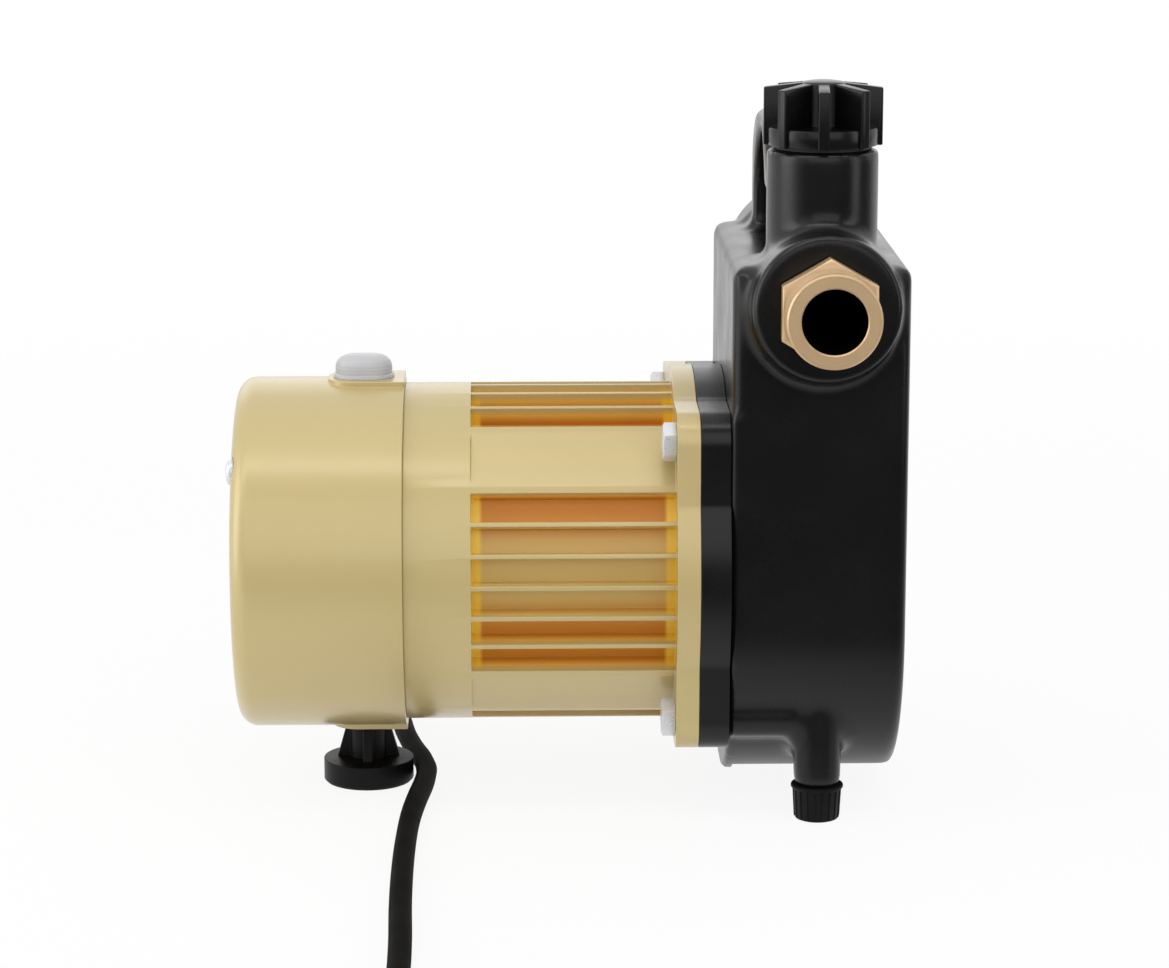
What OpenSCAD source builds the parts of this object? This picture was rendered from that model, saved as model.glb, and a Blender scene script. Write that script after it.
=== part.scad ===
// Utility transfer pump: a gold motor with a switch on its end cover, and a black pump casing
// with two brass hose fittings, a fill cap, a carrying handle and three feet.
// X runs along the motor axis towards the pump, Y is across, Z is up from the floor.

/* [Motor shell] */
// Height of the motor axis above the floor
axis_h = 71.5; // [70:0.5:78]
// Height of the end cover above the motor tube
cover_step = 1.9; // [1.6:0.1:3]
// Length of the end cover
cover_len = 49.8; // [48:0.1:58]
// Wall thickness of the end cover
cover_wall = 2.6; // [2.2:0.1:3]
// Radius of the rounded rim of the end cover
cover_rim = 5.5; // [4:0.5:8]
// Radius of the motor tube
tube_r = 50.5; // [50:0.1:51.5]
// Length of the motor tube between the end cover and the flange
tube_len = 79; // [76:0.5:90]
// Length of the finned stretch of the tube
fin_zone = 59.3; // [50:0.1:62]
// Number of fins in each of the four groups
fin_count = 5; // [3:2:7]
// Angle from one fin to the next
fin_pitch = 10.56; // [9.5:0.1:11]
// Thickness of a fin
fin_t = 1.4; // [1:0.1:2]
// Depth of the pockets between the fins
pocket_depth = 6; // [4:0.5:6.5]
// Thickness of the motor flange
flange_t = 6.7; // [6:0.1:9]
// Height of the round part of the flange above the motor tube
flange_rise = 5.2; // [4:0.1:7]
// Distance from the motor tube to the middle of a flange bolt
bolt_gap = 7.5; // [7:0.1:8.5]
// Radius of the flange corners round the bolts
corner_r = 9; // [8:0.5:10]
// Distance across the end cover's flat pad, along Y
pad_w = 20; // [18:0.5:24]
// Radius of the flat pad's rounded end corners
pad_corner = 8; // [4:0.5:8.5]
// Length of the flat pad, from the mouth of the end cover
pad_len = 22.8; // [22:0.1:26]
// Height of the flat pad above the round surface of the end cover
pad_rise = 0.8; // [0.6:0.1:1.6]
// Distance of the switch and the motor foot from the mouth of the end cover
foot_back = 12.2; // [12:0.1:14]

/* [Motor inside] */
// Outer radius of the stator
stator_r = 42; // [41:0.1:42.4]
// Length of the motor tube that the stator core leaves free
stator_free = 39; // [38:0.5:45]
// Number of stator teeth
tooth_count = 18; // [12:1:24]
// Air gap between the rotor and the stator teeth
air_gap = 0.4; // [0.3:0.05:0.6]
// Outer radius of the rotor core
rotor_r = 24; // [22:0.5:26]
// Radius of the shaft at the bearings
shaft_r = 6; // [5.5:0.1:6.5]
// Outer radius of a bearing
bearing_r = 16; // [15:0.5:17]
// Width of a bearing
bearing_w = 10; // [9:0.5:11]
// Number of balls in a bearing
ball_count = 7; // [6:1:8]
// Radius of the run capacitor
cap_r = 12; // [10:0.5:13]
// Length of the run capacitor
capacitor_len = 32; // [28:0.5:34]

/* [Pump casing] */
// Thickness of the seal plate
plate_t = 8.8; // [8:0.1:11]
// Thickness of the casing, along the motor axis
casing_t = 51; // [50:0.5:56]
// Half width of the casing, and the radius of its round lower end
casing_r = 51; // [50:0.5:53]
// Drop of the centre of the round lower end below the motor axis
casing_drop = 15.5; // [15:0.5:17]
// Height of the flat top of the casing above the motor axis
casing_top = 93; // [92:0.5:100]
// Radius of the rounded casing edges
casing_round = 4; // [3:0.5:4.5]
// Wall thickness of the casing
casing_wall = 4; // [3.5:0.1:4.5]
// Distance of the ports and the fill tower from the back of the casing
port_back = 26.3; // [26:0.1:28]
// Height of the ports above the motor axis
port_h = 82; // [81:0.5:84]
// Radius of the round bosses that carry the ports
boss_r = 21.4; // [20:0.1:23]
// Distance of the port boss faces from the middle
boss_face = 59; // [58:0.5:62]
// Radius of the fill tower
tower_r = 16; // [15:0.1:17]
// Distance of the fill tower from the middle
tower_y = 33; // [32:0.5:34]
// Height of the tower rim above the motor axis
tower_top = 125; // [124:0.5:128]
// Radius of the fill hole
fill_r = 10; // [9:0.1:11]
// Radius of the impeller chamber
chamber_r = 42; // [41:0.5:42.5]

/* [Handle] */
// Width of the handle along the motor axis
handle_w = 31; // [28:0.5:33]
// Height of the handle's crest above the motor axis
handle_top = 132; // [131:0.5:136]
// Thickness of the handle at its crest
handle_t = 5.5; // [5:0.5:7]
// Distance of the handle's far face from the middle
handle_far = 39; // [37:0.5:41]
// Thickness of the handle's far leg
handle_leg_t = 12; // [9:0.5:13]

/* [Fittings and cap] */
// Radius of the hose thread, over its crests
hose_r = 13.45; // [13:0.05:14]
// Length of the hose thread
hose_len = 13.5; // [12:0.5:16]
// Radius of the bore through a fitting
fitting_bore = 9.5; // [9:0.1:10]
// Distance across the flats of a fitting's hexagon
fitting_af = 27; // [27:0.5:30]
// Thickness of a fitting's hexagon
fitting_hex = 7; // [6:0.5:9]
// Radius of the threaded tail of a fitting, inside the casing
tail_r = 12; // [11.5:0.1:12.4]
// Length of the threaded tail
tail_len = 14; // [12:0.5:15]
// Outer radius of the fill cap over its fins
knob_r = 17; // [16.5:0.1:17.5]
// Height of the fill cap above the tower rim
knob_h = 19.3; // [17:0.1:22]
// Number of fins on the fill cap
rib_count = 8; // [6:2:10]
// Thickness of a fin on the fill cap
rib_w = 3.3; // [2.5:0.1:3.6]

/* [Feet and cord] */
// Radius of the motor foot's disc
foot_r = 13.6; // [12:0.1:14]
// Height of the motor foot's disc
foot_disc = 7.2; // [6:0.1:8]
// Distance of each pump leg's cap from the middle
leg_y = 42.5; // [41:0.5:45]
// Sideways lean of the pump legs
leg_splay = 9; // [6:0.5:11]
// Radius of a pump leg at its lower end
leg_r = 6.8; // [6.5:0.1:7.2]
// Height of the rubber caps on the pump legs
leg_cap_h = 10.8; // [9:0.1:12]
// Radius of the cord
cord_r = 3.2; // [3:0.1:3.4]

/* [Fits] */
// Clearance between seated pieces
seat = 0.2; // [0.15:0.05:0.25]
// Radial clearance of running fits
run = 0.05; // [0.03:0.01:0.08]

/* [Hidden] */
$fn = 48;

// Radii that follow the motor tube
cover_r = tube_r + cover_step;
flange_r = tube_r + flange_rise;
bolt_off = (tube_r + bolt_gap) / sqrt(2);
screw_circle = tube_r - 5;

// Places along the motor axis, from the end cover to the front of the pump
screw_proud = 1.5;
overall_len = screw_proud + cover_len + tube_len + flange_t + plate_t + casing_t;
x_cover = screw_proud - overall_len / 2;
x_tube = x_cover + cover_len;
x_flange = x_tube + tube_len;
x_plate = x_flange + flange_t;
x_casing = x_plate + plate_t;
x_front = x_casing + casing_t;
x_port = x_casing + port_back;
x_foot = x_tube - foot_back;
pad_z = cover_r + pad_rise;

// Motor tube: the stator sits in its front stretch and the bracket in its rear
stator_seat_r = stator_r + run;
spigot_t = 3.1;
rear_bore_r = cover_r - cover_wall - seat - spigot_t;
x_shoulder = x_flange - fin_zone - 2;
spigot_len = 4;
fin_edge = fin_pitch * (fin_count + 1) / 2;
flat_r = tube_r - 0.8;
flange_half = bolt_off + corner_r;

// Shaft and bearings
stator_len = tube_len - stator_free;
x_rear_bearing = x_tube + 1;
x_front_bearing = x_plate - 14;
web_t = 2;
winding_len = 9;
x_stator = x_front_bearing - web_t - winding_len - stator_len - 1;
race_t = 2.2;
ball_pitch_r = (shaft_r + bearing_r) / 2;
ball_r = (bearing_r - shaft_r) / 2 - race_t + 0.6;
journal_step = 2;
impeller_bore = shaft_r - 1;
thread_r = shaft_r - 2;

// Pump wet end, from the seal plate forward
plate_spigot = 4;
seal_pocket_r = 13;
seal_pocket_len = 10;
seal_seat_len = 4.8;
seal_gap = 0.08;
x_seal = x_casing + plate_spigot - seal_pocket_len;
x_seal_head = x_seal + seat + seal_seat_len + seal_gap;
seal_head_len = 8;
x_impeller = x_seal_head + seal_head_len + seat;
impeller_r = 37;
impeller_disc = 2.5;
vane_h = 6;
vane_count = 6;
nut_h = 5.5;
nut_af = 13;
x_diffuser = x_impeller + impeller_disc + vane_h + 1.2;
diffuser_t = 3;
eye_r = 14;
x_wall = x_diffuser + diffuser_t;
x_thread_end = x_impeller + impeller_disc + vane_h + nut_h + 1.5;
oring_r = 1;
oring_path_r = 46;

// Casing outline and its inner faces
arc_z = -casing_drop;
corner_top = casing_round + 1;
inner_half = casing_r - casing_wall;
inner_top = casing_top - casing_wall;
inner_front = casing_t - casing_wall;
divider_t = 3;
upper_floor = 48;
valve_tube_r = 15;
valve_y = boss_face - tail_len - 3.2;
tail_hole_r = tail_r + seat;
boss_root = 40;
boss_chamfer = 1.2;

// Check valve, in its own axes: the pin runs across above the bore
flap_r = 8.9;
flap_t = 1.6;
flap_flat = 7.6;
valve_pin_r = 0.7;
valve_pin_up = 10.1;
valve_pin_z = 1.5;
valve_barrel = 4.4;
lug_t = 1.4;

// Fill cap
cap_gap = 0.9;
plug_depth = 15;
skirt_r = knob_r - 1.1;
skirt_h = 5.4;
hub_r = 6.4;
fin_slope = 1.1;

// Handle: the finger gap starts at the tower, and the strap passes below the fill cap
gap_r = (handle_far - handle_leg_t + tower_y - tower_r) / 2;
gap_y = handle_far - handle_leg_t - gap_r;
gap_top = handle_top - handle_t;
handle_bend_r = gap_r + 5;
handle_bend_y = handle_far - handle_bend_r;
handle_run = handle_bend_y + tower_y - knob_r;
handle_fall = handle_top - tower_top + 1;
handle_long_r = (handle_run * handle_run + handle_fall * handle_fall) / (2 * handle_fall);
handle_edge = 5;

// How far a cutting body reaches past the face that it opens
reach = 20;

// Fasteners
m6_r = 3;
m6_af = 10;
m6_head = 4;
m6_len = flange_t + plate_t + 14;
bolt_boss_r = 6.2;
bolt_boss_len = m6_len - flange_t - plate_t + 6;
m4_r = 2;
m4_head_r = 3.8;
m4_head = 2.6;
head_sink = m4_head + 0.05 - screw_proud;
screw_hole_r = 2.3;
screw_angle = 137;
screw_boss_r = 4.2;
screw_grip = 12;
foot_screw_z = axis_h - sqrt(pow(cover_r - cover_wall, 2) - m4_head_r * m4_head_r) + 0.05;
foot_screw_tip = foot_screw_z - 13.7;

// Switch
switch_l = 13.2;
switch_w = 8.6;
switch_depth = 14;
bezel_l = 15.6;
bezel_w = 11.4;
bezel_t = 1.4;
boot_l = 18.1;
boot_w = 13.8;
boot_h = 6.8;
boot_wall = 0.9;
rocker_l = 11;
rocker_w = 6.4;
rocker_tilt = 8;
rocker_pin_r = 0.9;
rocker_drop = 1.2;

// Strain relief and the cord's route, with the cord's middle on each point
gland_back = 10.9;
gland_x = x_tube - gland_back;
gland_z = 62;
gland_r = 6;
gland_boss_r = 7.4;
route = [[-58, 73, 62], [-58, 81.5, 62], [-57.9, 90, 62], [-57.6, 101.2, 59.8],
    [-57.2, 110.7, 53.4], [-56.8, 117, 43.9], [-56.4, 119.3, 32.8], [-56, 117, 21.7],
    [-55.5, 110.7, 12.2], [-55, 101.2, 5.8], [-54.2, 90, 3.5], [-53.2, 72, 3.4],
    [-51, 55, 3.4], [-49, 38, 3.4], [-46, 21, 3.4], [-43, 8, 3.4], [-41.7, -3, 3.4],
    [-42.2, -16, 3.4], [-44, -33, 3.4], [-45.5, -52, 3.4], [-46.3, -76, 3.4],
    [-46.5, -104, 3.4], [-46.2, -132, 3.4], [-45.5, -160, 3.4], [-45.4, -188, 3.4],
    [-46.8, -202, 3.4], [-50.2, -215, 3.4], [-54.4, -227, 3.4], [-57.2, -239, 3.4],
    [-58, -251, 3.4]];
tail_route = [[10.8, -319.7, 9.8], [16, -319.7, 10.2], [22, -319.7, 12], [27, -319.7, 12.6],
    [30, -319.7, 12.6]];
cord_sides = 10;
cord_rings = 72;
coil_mid_r = 35;
coil_half_w = 4 * cord_r;
coil_h = 4 * cord_r + 0.2;
coil_out_r = coil_mid_r + coil_half_w;
coil_x = route[len(route) - 1][0] + coil_out_r - cord_r;
coil_y = route[len(route) - 1][1] - sqrt(pow(coil_out_r + 0.1, 2) - pow(coil_out_r - 2 * cord_r, 2));
plug_end = tail_route[len(tail_route) - 1];
plug_neck = 14;
plug_len = 36;
plug_w = 26;
plug_h = 24.6;
blade_len = 15.5;
blade_gap = 12.7;
ground_drop = 11.9;

function smooth(p, t) = let(
    n = len(p) - 1, i = min(floor(t), n - 1), u = t - i,
    a = p[max(i - 1, 0)], b = p[i], c = p[i + 1], d = p[min(i + 2, n)])
    0.5 * (2 * b + (c - a) * u + (2 * a - 5 * b + 4 * c - d) * u * u
        + (3 * b - a - 3 * c + d) * u * u * u);
function unit(v) = v / norm(v);

// Stands local Z along the motor axis, local X across and local Y up
module on_axis(x) {
    translate([x, 0, axis_h]) rotate([90, 0, 90]) children();
}

// Stands local Z along Y, starting at y
module along_y(x, y, z) {
    translate([x, y, z]) rotate([-90, 0, 0]) children();
}

module ring(r_out, r_in, h) {
    difference() {
        cylinder(r = r_out, h = h);
        translate([0, 0, -1]) cylinder(r = r_in, h = h + 2);
    }
}

// A closed can whose lower rim is rounded
module rounded_can(r, h, round_r) {
    rotate_extrude() {
        square([r - round_r, h]);
        translate([0, round_r]) square([r, h - round_r]);
        translate([r - round_r, round_r]) circle(r = round_r);
    }
}

module hexagon(af, h) {
    cylinder(r = af / sqrt(3), h = h, $fn = 6);
}

// Places children at the four flange bolts
module at_bolts() {
    for (y = [-1, 1], z = [-1, 1]) translate([y * bolt_off, z * bolt_off, 0]) children();
}

// Places children at the two lower flange bolts
module at_lower_bolts() {
    for (y = [-1, 1]) translate([y * bolt_off, -bolt_off, 0]) children();
}

// Places children at the two screws that hold the end cover
module at_screws() {
    for (a = [screw_angle, screw_angle + 180]) rotate(a) translate([screw_circle, 0, 0]) children();
}

// A round bar of radius r swept along the smoothed points p
module swept_bar(p, r, sides, rings) {
    n = len(p) - 1;
    pts = [for (k = [0 : rings]) let(
        t = n * k / rings, e = 0.01,
        here = smooth(p, t),
        ahead = unit(smooth(p, min(t + e, n)) - smooth(p, max(t - e, 0))),
        side = unit(cross(ahead, abs(ahead[0]) > 0.9 ? [0, 0, 1] : [1, 0, 0])),
        over = cross(side, ahead))
        for (s = [0 : sides - 1]) here + r * (cos(360 * s / sides) * side
            + sin(360 * s / sides) * over)];
    walls = [for (k = [0 : rings - 1], s = [0 : sides - 1]) let(q = (s + 1) % sides)
        [k * sides + s, k * sides + q, (k + 1) * sides + q, (k + 1) * sides + s]];
    caps = [[for (s = [sides - 1 : -1 : 0]) s], [for (s = [0 : sides - 1]) rings * sides + s]];
    polyhedron(points = pts, faces = concat(walls, caps), convexity = 6);
}

module flange_outline() {
    circle(r = flange_r);
    square([2 * bolt_off, 2 * flange_half], center = true);
    square([2 * flange_half, 2 * bolt_off], center = true);
    for (y = [-1, 1], z = [-1, 1]) translate([y * bolt_off, z * bolt_off]) circle(r = corner_r);
}

// The tube's section where it carries the fins: lands between the four groups of pockets
module fin_section() {
    difference() {
        circle(r = tube_r);
        for (g = [0 : 3]) rotate(90 * g) {
            rotate(45) translate([flat_r, -tube_r / 2]) square([tube_r, tube_r]);
            pocket_sector();
        }
    }
    intersection() {
        circle(r = tube_r);
        for (g = [0 : 3], k = [0 : fin_count - 1])
            rotate(90 * g + (k - (fin_count - 1) / 2) * fin_pitch)
                translate([tube_r - pocket_depth - 1, -fin_t / 2]) square([pocket_depth + 2, fin_t]);
    }
}

module pocket_sector() {
    difference() {
        polygon([[0, 0], 2 * tube_r * [cos(fin_edge), -sin(fin_edge)], [2 * tube_r, 0],
            2 * tube_r * [cos(fin_edge), sin(fin_edge)]]);
        circle(r = tube_r - pocket_depth);
    }
}

module motor_housing() {
    color("khaki") difference() {
        union() {
            on_axis(x_tube) cylinder(r = tube_r, h = tube_len - fin_zone);
            on_axis(x_flange - fin_zone) linear_extrude(fin_zone) fin_section();
            on_axis(x_tube - spigot_len)
                cylinder(r = cover_r - cover_wall - seat, h = spigot_len + 1);
            on_axis(x_flange) linear_extrude(flange_t) flange_outline();
        }
        on_axis(x_tube - spigot_len - 1) difference() {
            cylinder(r = rear_bore_r, h = x_shoulder - x_tube + spigot_len + 1);
            at_screws() translate([0, 0, spigot_len + 1])
                cylinder(r = screw_boss_r, h = x_shoulder - x_tube + 1);
        }
        on_axis(x_shoulder - 1) cylinder(r = stator_seat_r, h = x_front_bearing - web_t - x_shoulder + 1);
        on_axis(x_front_bearing) cylinder(r = bearing_r + run, h = bearing_w + seat);
        on_axis(x_front_bearing - 4) cylinder(r = bearing_r - 2, h = 10);
        on_axis(x_front_bearing) cylinder(r = shaft_r + 1, h = 40);
        on_axis(x_flange - 1) at_bolts() cylinder(r = m6_r + 0.3, h = flange_t + 2);
        on_axis(x_tube - 1) at_screws() cylinder(r = m4_r + run, h = screw_grip + 1);
        on_axis(x_tube - spigot_len - 1) at_screws()
            cylinder(r = screw_boss_r + seat, h = spigot_len + 1);
    }
}

// The flat pad from above, rounded at the end that faces away from the mouth
module pad_plan() {
    r = pad_corner;
    translate([r - pad_len, -pad_w / 2]) square([pad_len - r, pad_w]);
    translate([-pad_len, r - pad_w / 2]) square([r + 1, pad_w - 2 * r]);
    for (s = [-1, 1]) translate([r - pad_len, s * (pad_w / 2 - r)]) circle(r = r);
}

module end_cover() {
    color("khaki") difference() {
        union() {
            on_axis(x_cover) rounded_can(cover_r, cover_len, cover_rim);
            translate([x_tube, 0, axis_h - pad_z]) linear_extrude(2 * pad_z) pad_plan();
            along_y(gland_x, 0, gland_z) cylinder(r = gland_boss_r, h = cover_r + 0.6);
        }
        difference() {
            on_axis(x_cover + cover_wall)
                rounded_can(cover_r - cover_wall, cover_len, cover_rim - cover_wall);
            on_axis(x_cover) at_screws() cylinder(r = screw_boss_r, h = cover_len);
        }
        on_axis(x_cover - 1) at_screws() cylinder(r = screw_hole_r, h = cover_len + 2);
        on_axis(x_cover - 5) at_screws() cylinder(r = m4_head_r + 0.8, h = 5 + head_sink);
        translate([x_foot - switch_l / 2 - seat, -switch_w / 2 - seat, axis_h])
            cube([switch_l + 2 * seat, switch_w + 2 * seat, cover_r + 10]);
        translate([x_foot, 0, axis_h - pad_z - 1]) cylinder(r = screw_hole_r, h = 10);
        along_y(gland_x, cover_r - 14, gland_z) cylinder(r = gland_r - 1.5 + seat, h = reach);
    }
}

// Disc with a bearing hub and a rim that bears on the shoulder inside the tube
module rear_bracket() {
    disc_x = x_tube + 4;
    disc_t = 4;
    hub_len = bearing_w + 2.2;
    color("silver") difference() {
        union() {
            on_axis(disc_x) cylinder(r = rear_bore_r - seat, h = disc_t);
            on_axis(disc_x) ring(rear_bore_r - seat, rear_bore_r - 3, x_shoulder - seat - disc_x);
            on_axis(x_rear_bearing - 0.5) cylinder(r = bearing_r + 3, h = hub_len);
        }
        on_axis(x_rear_bearing - 2) cylinder(r = bearing_r + run, h = bearing_w + 2);
        on_axis(x_rear_bearing) cylinder(r = shaft_r + 3, h = reach);
        on_axis(x_tube - 1) at_screws() cylinder(r = screw_boss_r + seat, h = 40);
        on_axis(disc_x - 1) for (k = [0 : 5]) rotate(60 * k + 17)
            translate([32, 0, 0]) cylinder(r = 6.5, h = disc_t + 2);
    }
}

module stator_core() {
    bore = rotor_r + air_gap;
    yoke_r = stator_r - 6;
    color("dimgray") on_axis(x_stator) difference() {
        cylinder(r = stator_r, h = stator_len);
        translate([0, 0, -1]) {
            cylinder(r = bore, h = stator_len + 2);
            for (k = [0 : tooth_count - 1]) rotate(360 * k / tooth_count) {
                translate([bore - 1, -0.9, 0]) cube([6, 1.8, stator_len + 2]);
                translate([yoke_r - 3.2, 0, 0]) cylinder(r = 3.2, h = stator_len + 2);
                translate([bore + 3, -2, 0]) cube([yoke_r - bore - 6, 4, stator_len + 2]);
            }
        }
    }
}

// The end turns bulge in a round-cornered ring on each end of the stator
module windings() {
    turn_r = rotor_r + 9.5;
    half = 4.3;
    round_r = 2.5;
    color("chocolate") for (x = [x_stator - seat - winding_len, x_stator + stator_len + seat])
        on_axis(x) rotate_extrude() translate([turn_r, 0]) {
            translate([-half, round_r]) square([2 * half, winding_len - 2 * round_r]);
            translate([-half + round_r, 0]) square([2 * (half - round_r), winding_len]);
            for (r = [-half + round_r, half - round_r], z = [round_r, winding_len - round_r])
                translate([r, z]) circle(r = round_r);
        }
}

module shaft() {
    color("lightsteelblue") {
        on_axis(x_rear_bearing - 1.5)
            cylinder(r = shaft_r, h = x_impeller - x_rear_bearing + 1.5);
        on_axis(x_rear_bearing + bearing_w)
            cylinder(r = shaft_r + journal_step, h = x_front_bearing - x_rear_bearing - bearing_w);
        on_axis(x_impeller - 1) cylinder(r = impeller_bore, h = impeller_disc + vane_h + 1);
        on_axis(x_impeller) cylinder(r = thread_r, h = x_thread_end - x_impeller);
    }
}

module rotor_core() {
    color("gray") on_axis(x_stator) ring(rotor_r, shaft_r + journal_step, stator_len);
}

module rotor_end_rings() {
    color("silver") for (x = [x_stator - 4 - seat, x_stator + stator_len + seat])
        on_axis(x) ring(rotor_r - 1, rotor_r - 9, 4);
}

// The outer race of a bearing, with its groove and two shields
module outer_race(x) {
    on_axis(x) difference() {
        cylinder(r = bearing_r, h = bearing_w);
        translate([0, 0, 1]) cylinder(r = bearing_r - race_t, h = bearing_w - 2);
        translate([0, 0, -1]) cylinder(r = shaft_r + race_t + 0.8, h = bearing_w + 2);
        translate([0, 0, bearing_w / 2]) rotate_extrude()
            translate([ball_pitch_r, 0]) circle(r = ball_r + run);
    }
}

module front_bearing_race() {
    color("lightgray") outer_race(x_front_bearing);
}

module rear_bearing_race() {
    color("lightgray") outer_race(x_rear_bearing);
}

module bearing_balls() {
    color("white") for (x = [x_front_bearing, x_rear_bearing]) on_axis(x + bearing_w / 2)
        for (k = [0 : ball_count - 1]) rotate(360 * k / ball_count)
            translate([ball_pitch_r, 0, 0]) sphere(r = ball_r);
}

module bearing_inner_rings() {
    color("lightgray") for (x = [x_front_bearing, x_rear_bearing]) on_axis(x) difference() {
        ring(shaft_r + race_t, shaft_r, bearing_w);
        translate([0, 0, bearing_w / 2]) rotate_extrude()
            translate([ball_pitch_r, 0]) circle(r = ball_r + run);
    }
}

// The capacitor lies along the motor axis, low on the near side of the end cover
module at_capacitor(x) {
    on_axis(x) rotate(225) translate([cover_r - cover_wall - cap_r - 3, 0, 0]) children();
}

module run_capacitor() {
    color("black") at_capacitor(x_cover + cover_wall + 2) cylinder(r = cap_r, h = capacitor_len);
}

module capacitor_clip() {
    color("silver") intersection() {
        at_capacitor(x_cover + cover_wall + 12) difference() {
            union() {
                cylinder(r = cap_r + 1.5, h = 10);
                translate([cap_r - 4, -7, 0]) cube([12, 14, 10]);
            }
            translate([0, 0, -1]) cylinder(r = cap_r + run, h = 12);
        }
        on_axis(x_cover) cylinder(r = cover_r - cover_wall - seat, h = cover_len);
    }
}

module seal_plate() {
    color("black") difference() {
        union() {
            on_axis(x_plate) linear_extrude(plate_t) flange_outline();
            on_axis(x_casing - 1) cylinder(r = chamber_r - seat, h = plate_spigot + 1);
        }
        on_axis(x_seal) cylinder(r = seal_pocket_r, h = 20);
        on_axis(x_plate - 1) cylinder(r = shaft_r + 0.8, h = 20);
        on_axis(x_plate - 1) at_bolts() cylinder(r = m6_r + 0.3, h = plate_t + 2);
        on_axis(x_casing - 2 * oring_r - 0.1) ring(oring_path_r + oring_r + seat,
            oring_path_r - oring_r - seat, 10);
    }
}

module casing_seal() {
    color("dimgray") on_axis(x_casing - oring_r - 0.05) rotate_extrude()
        translate([oring_path_r, 0]) circle(r = oring_r);
}

module seal_seat() {
    color("ivory") on_axis(x_seal + seat) ring(seal_pocket_r - seat, shaft_r + 0.8, seal_seat_len);
}

module seal_head() {
    color("dimgray") on_axis(x_seal_head) rotate_extrude() difference() {
        union() {
            square([seal_pocket_r - 2.6, 3]);
            square([seal_pocket_r - 3.6, seal_head_len]);
            translate([0, seal_head_len - 2]) square([seal_pocket_r - 2, 2]);
        }
        square([shaft_r + run, 3 * seal_head_len]);
    }
}

// One backward-curved vane, bounded by two arcs
module vane() {
    intersection() {
        difference() {
            translate([16, 0]) circle(r = 20);
            translate([16.6, 1.9]) circle(r = 20);
        }
        translate([-5, -40]) square([60, 40]);
        difference() {
            circle(r = impeller_r);
            circle(r = eye_r - 1);
        }
    }
}

module impeller() {
    color("goldenrod") on_axis(x_impeller) difference() {
        union() {
            cylinder(r = impeller_r, h = impeller_disc);
            cylinder(r = impeller_bore + 3.5, h = impeller_disc + vane_h - 1);
            translate([0, 0, impeller_disc - 0.5]) linear_extrude(vane_h + 0.5)
                for (k = [0 : vane_count - 1]) rotate(360 * k / vane_count) vane();
        }
        translate([0, 0, -1]) cylinder(r = impeller_bore + run, h = 20);
    }
}

module impeller_nut() {
    color("silver") on_axis(x_impeller + impeller_disc + vane_h + seat) difference() {
        hexagon(nut_af, nut_h);
        translate([0, 0, -1]) cylinder(r = thread_r + run, h = nut_h + 2);
    }
}

module diffuser() {
    color("dimgray") difference() {
        union() {
            on_axis(x_diffuser) cylinder(r = chamber_r - seat, h = diffuser_t - seat);
            on_axis(x_casing + plate_spigot + seat) ring(chamber_r - seat, chamber_r - 2.5,
                x_diffuser - x_casing - plate_spigot);
        }
        on_axis(x_diffuser - 1) cylinder(r = eye_r, h = diffuser_t + 2);
        translate([x_casing, 8, axis_h + 20]) cube([x_diffuser - x_casing, 24, 30]);
    }
}

// The casing's outline: straight sides, a flat top and a round lower end
module casing_outline(inset) {
    r = casing_r - inset;
    translate([0, arc_z]) circle(r = r);
    translate([-r, arc_z]) square([2 * r, casing_top - inset - arc_z]);
}

// The casing's section from its middle out, rounded at the front
module casing_half_section() {
    r = casing_round;
    square([casing_r - r, casing_t]);
    square([casing_r, casing_t - r]);
    translate([casing_r - r, casing_t - r]) circle(r = r);
}

// The casing seen from above, rounded at the front, and at the back too where both is true
module casing_plan(both) {
    r = casing_round;
    w = casing_r;
    translate([0, -w + r]) square([casing_t, 2 * (w - r)]);
    translate([both ? r : 0, -w]) square([both ? casing_t - 2 * r : casing_t - r, 2 * w]);
    for (s = [-1, 1]) {
        translate([casing_t - r, s * (w - r)]) circle(r = r);
        if (both) translate([r, s * (w - r)]) circle(r = r);
    }
}

// The casing above the seal plate: what three rounded prisms share
module casing_head() {
    r = casing_round;
    h = casing_top - flange_half;
    side = casing_r - corner_top;
    intersection() {
        translate([x_casing, 0, axis_h + flange_half]) linear_extrude(h) casing_plan(true);
        translate([0, 2 * casing_r, axis_h + flange_half]) rotate([90, 0, 0])
            linear_extrude(4 * casing_r) {
                translate([x_casing, 0]) square([casing_t, h - r]);
                translate([x_casing + r, 0]) square([casing_t - 2 * r, h]);
                for (x = [x_casing + r, x_front - r]) translate([x, h - r]) circle(r = r);
            }
        on_axis(x_casing - 1) linear_extrude(casing_t + 2) {
            translate([-casing_r, flange_half]) square([2 * casing_r, h - corner_top]);
            translate([-side, flange_half]) square([2 * side, h]);
            for (s = [-1, 1]) translate([s * side, casing_top - corner_top]) circle(r = corner_top);
        }
    }
}

// A half round below, straight sides, and a head that rises above the seal plate
module casing_block() {
    on_axis(x_casing) translate([0, arc_z, 0]) rotate([0, 0, 180]) rotate_extrude(angle = 180)
        casing_half_section();
    translate([x_casing, 0, axis_h + arc_z]) linear_extrude(flange_half - arc_z) casing_plan(false);
    casing_head();
}

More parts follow.
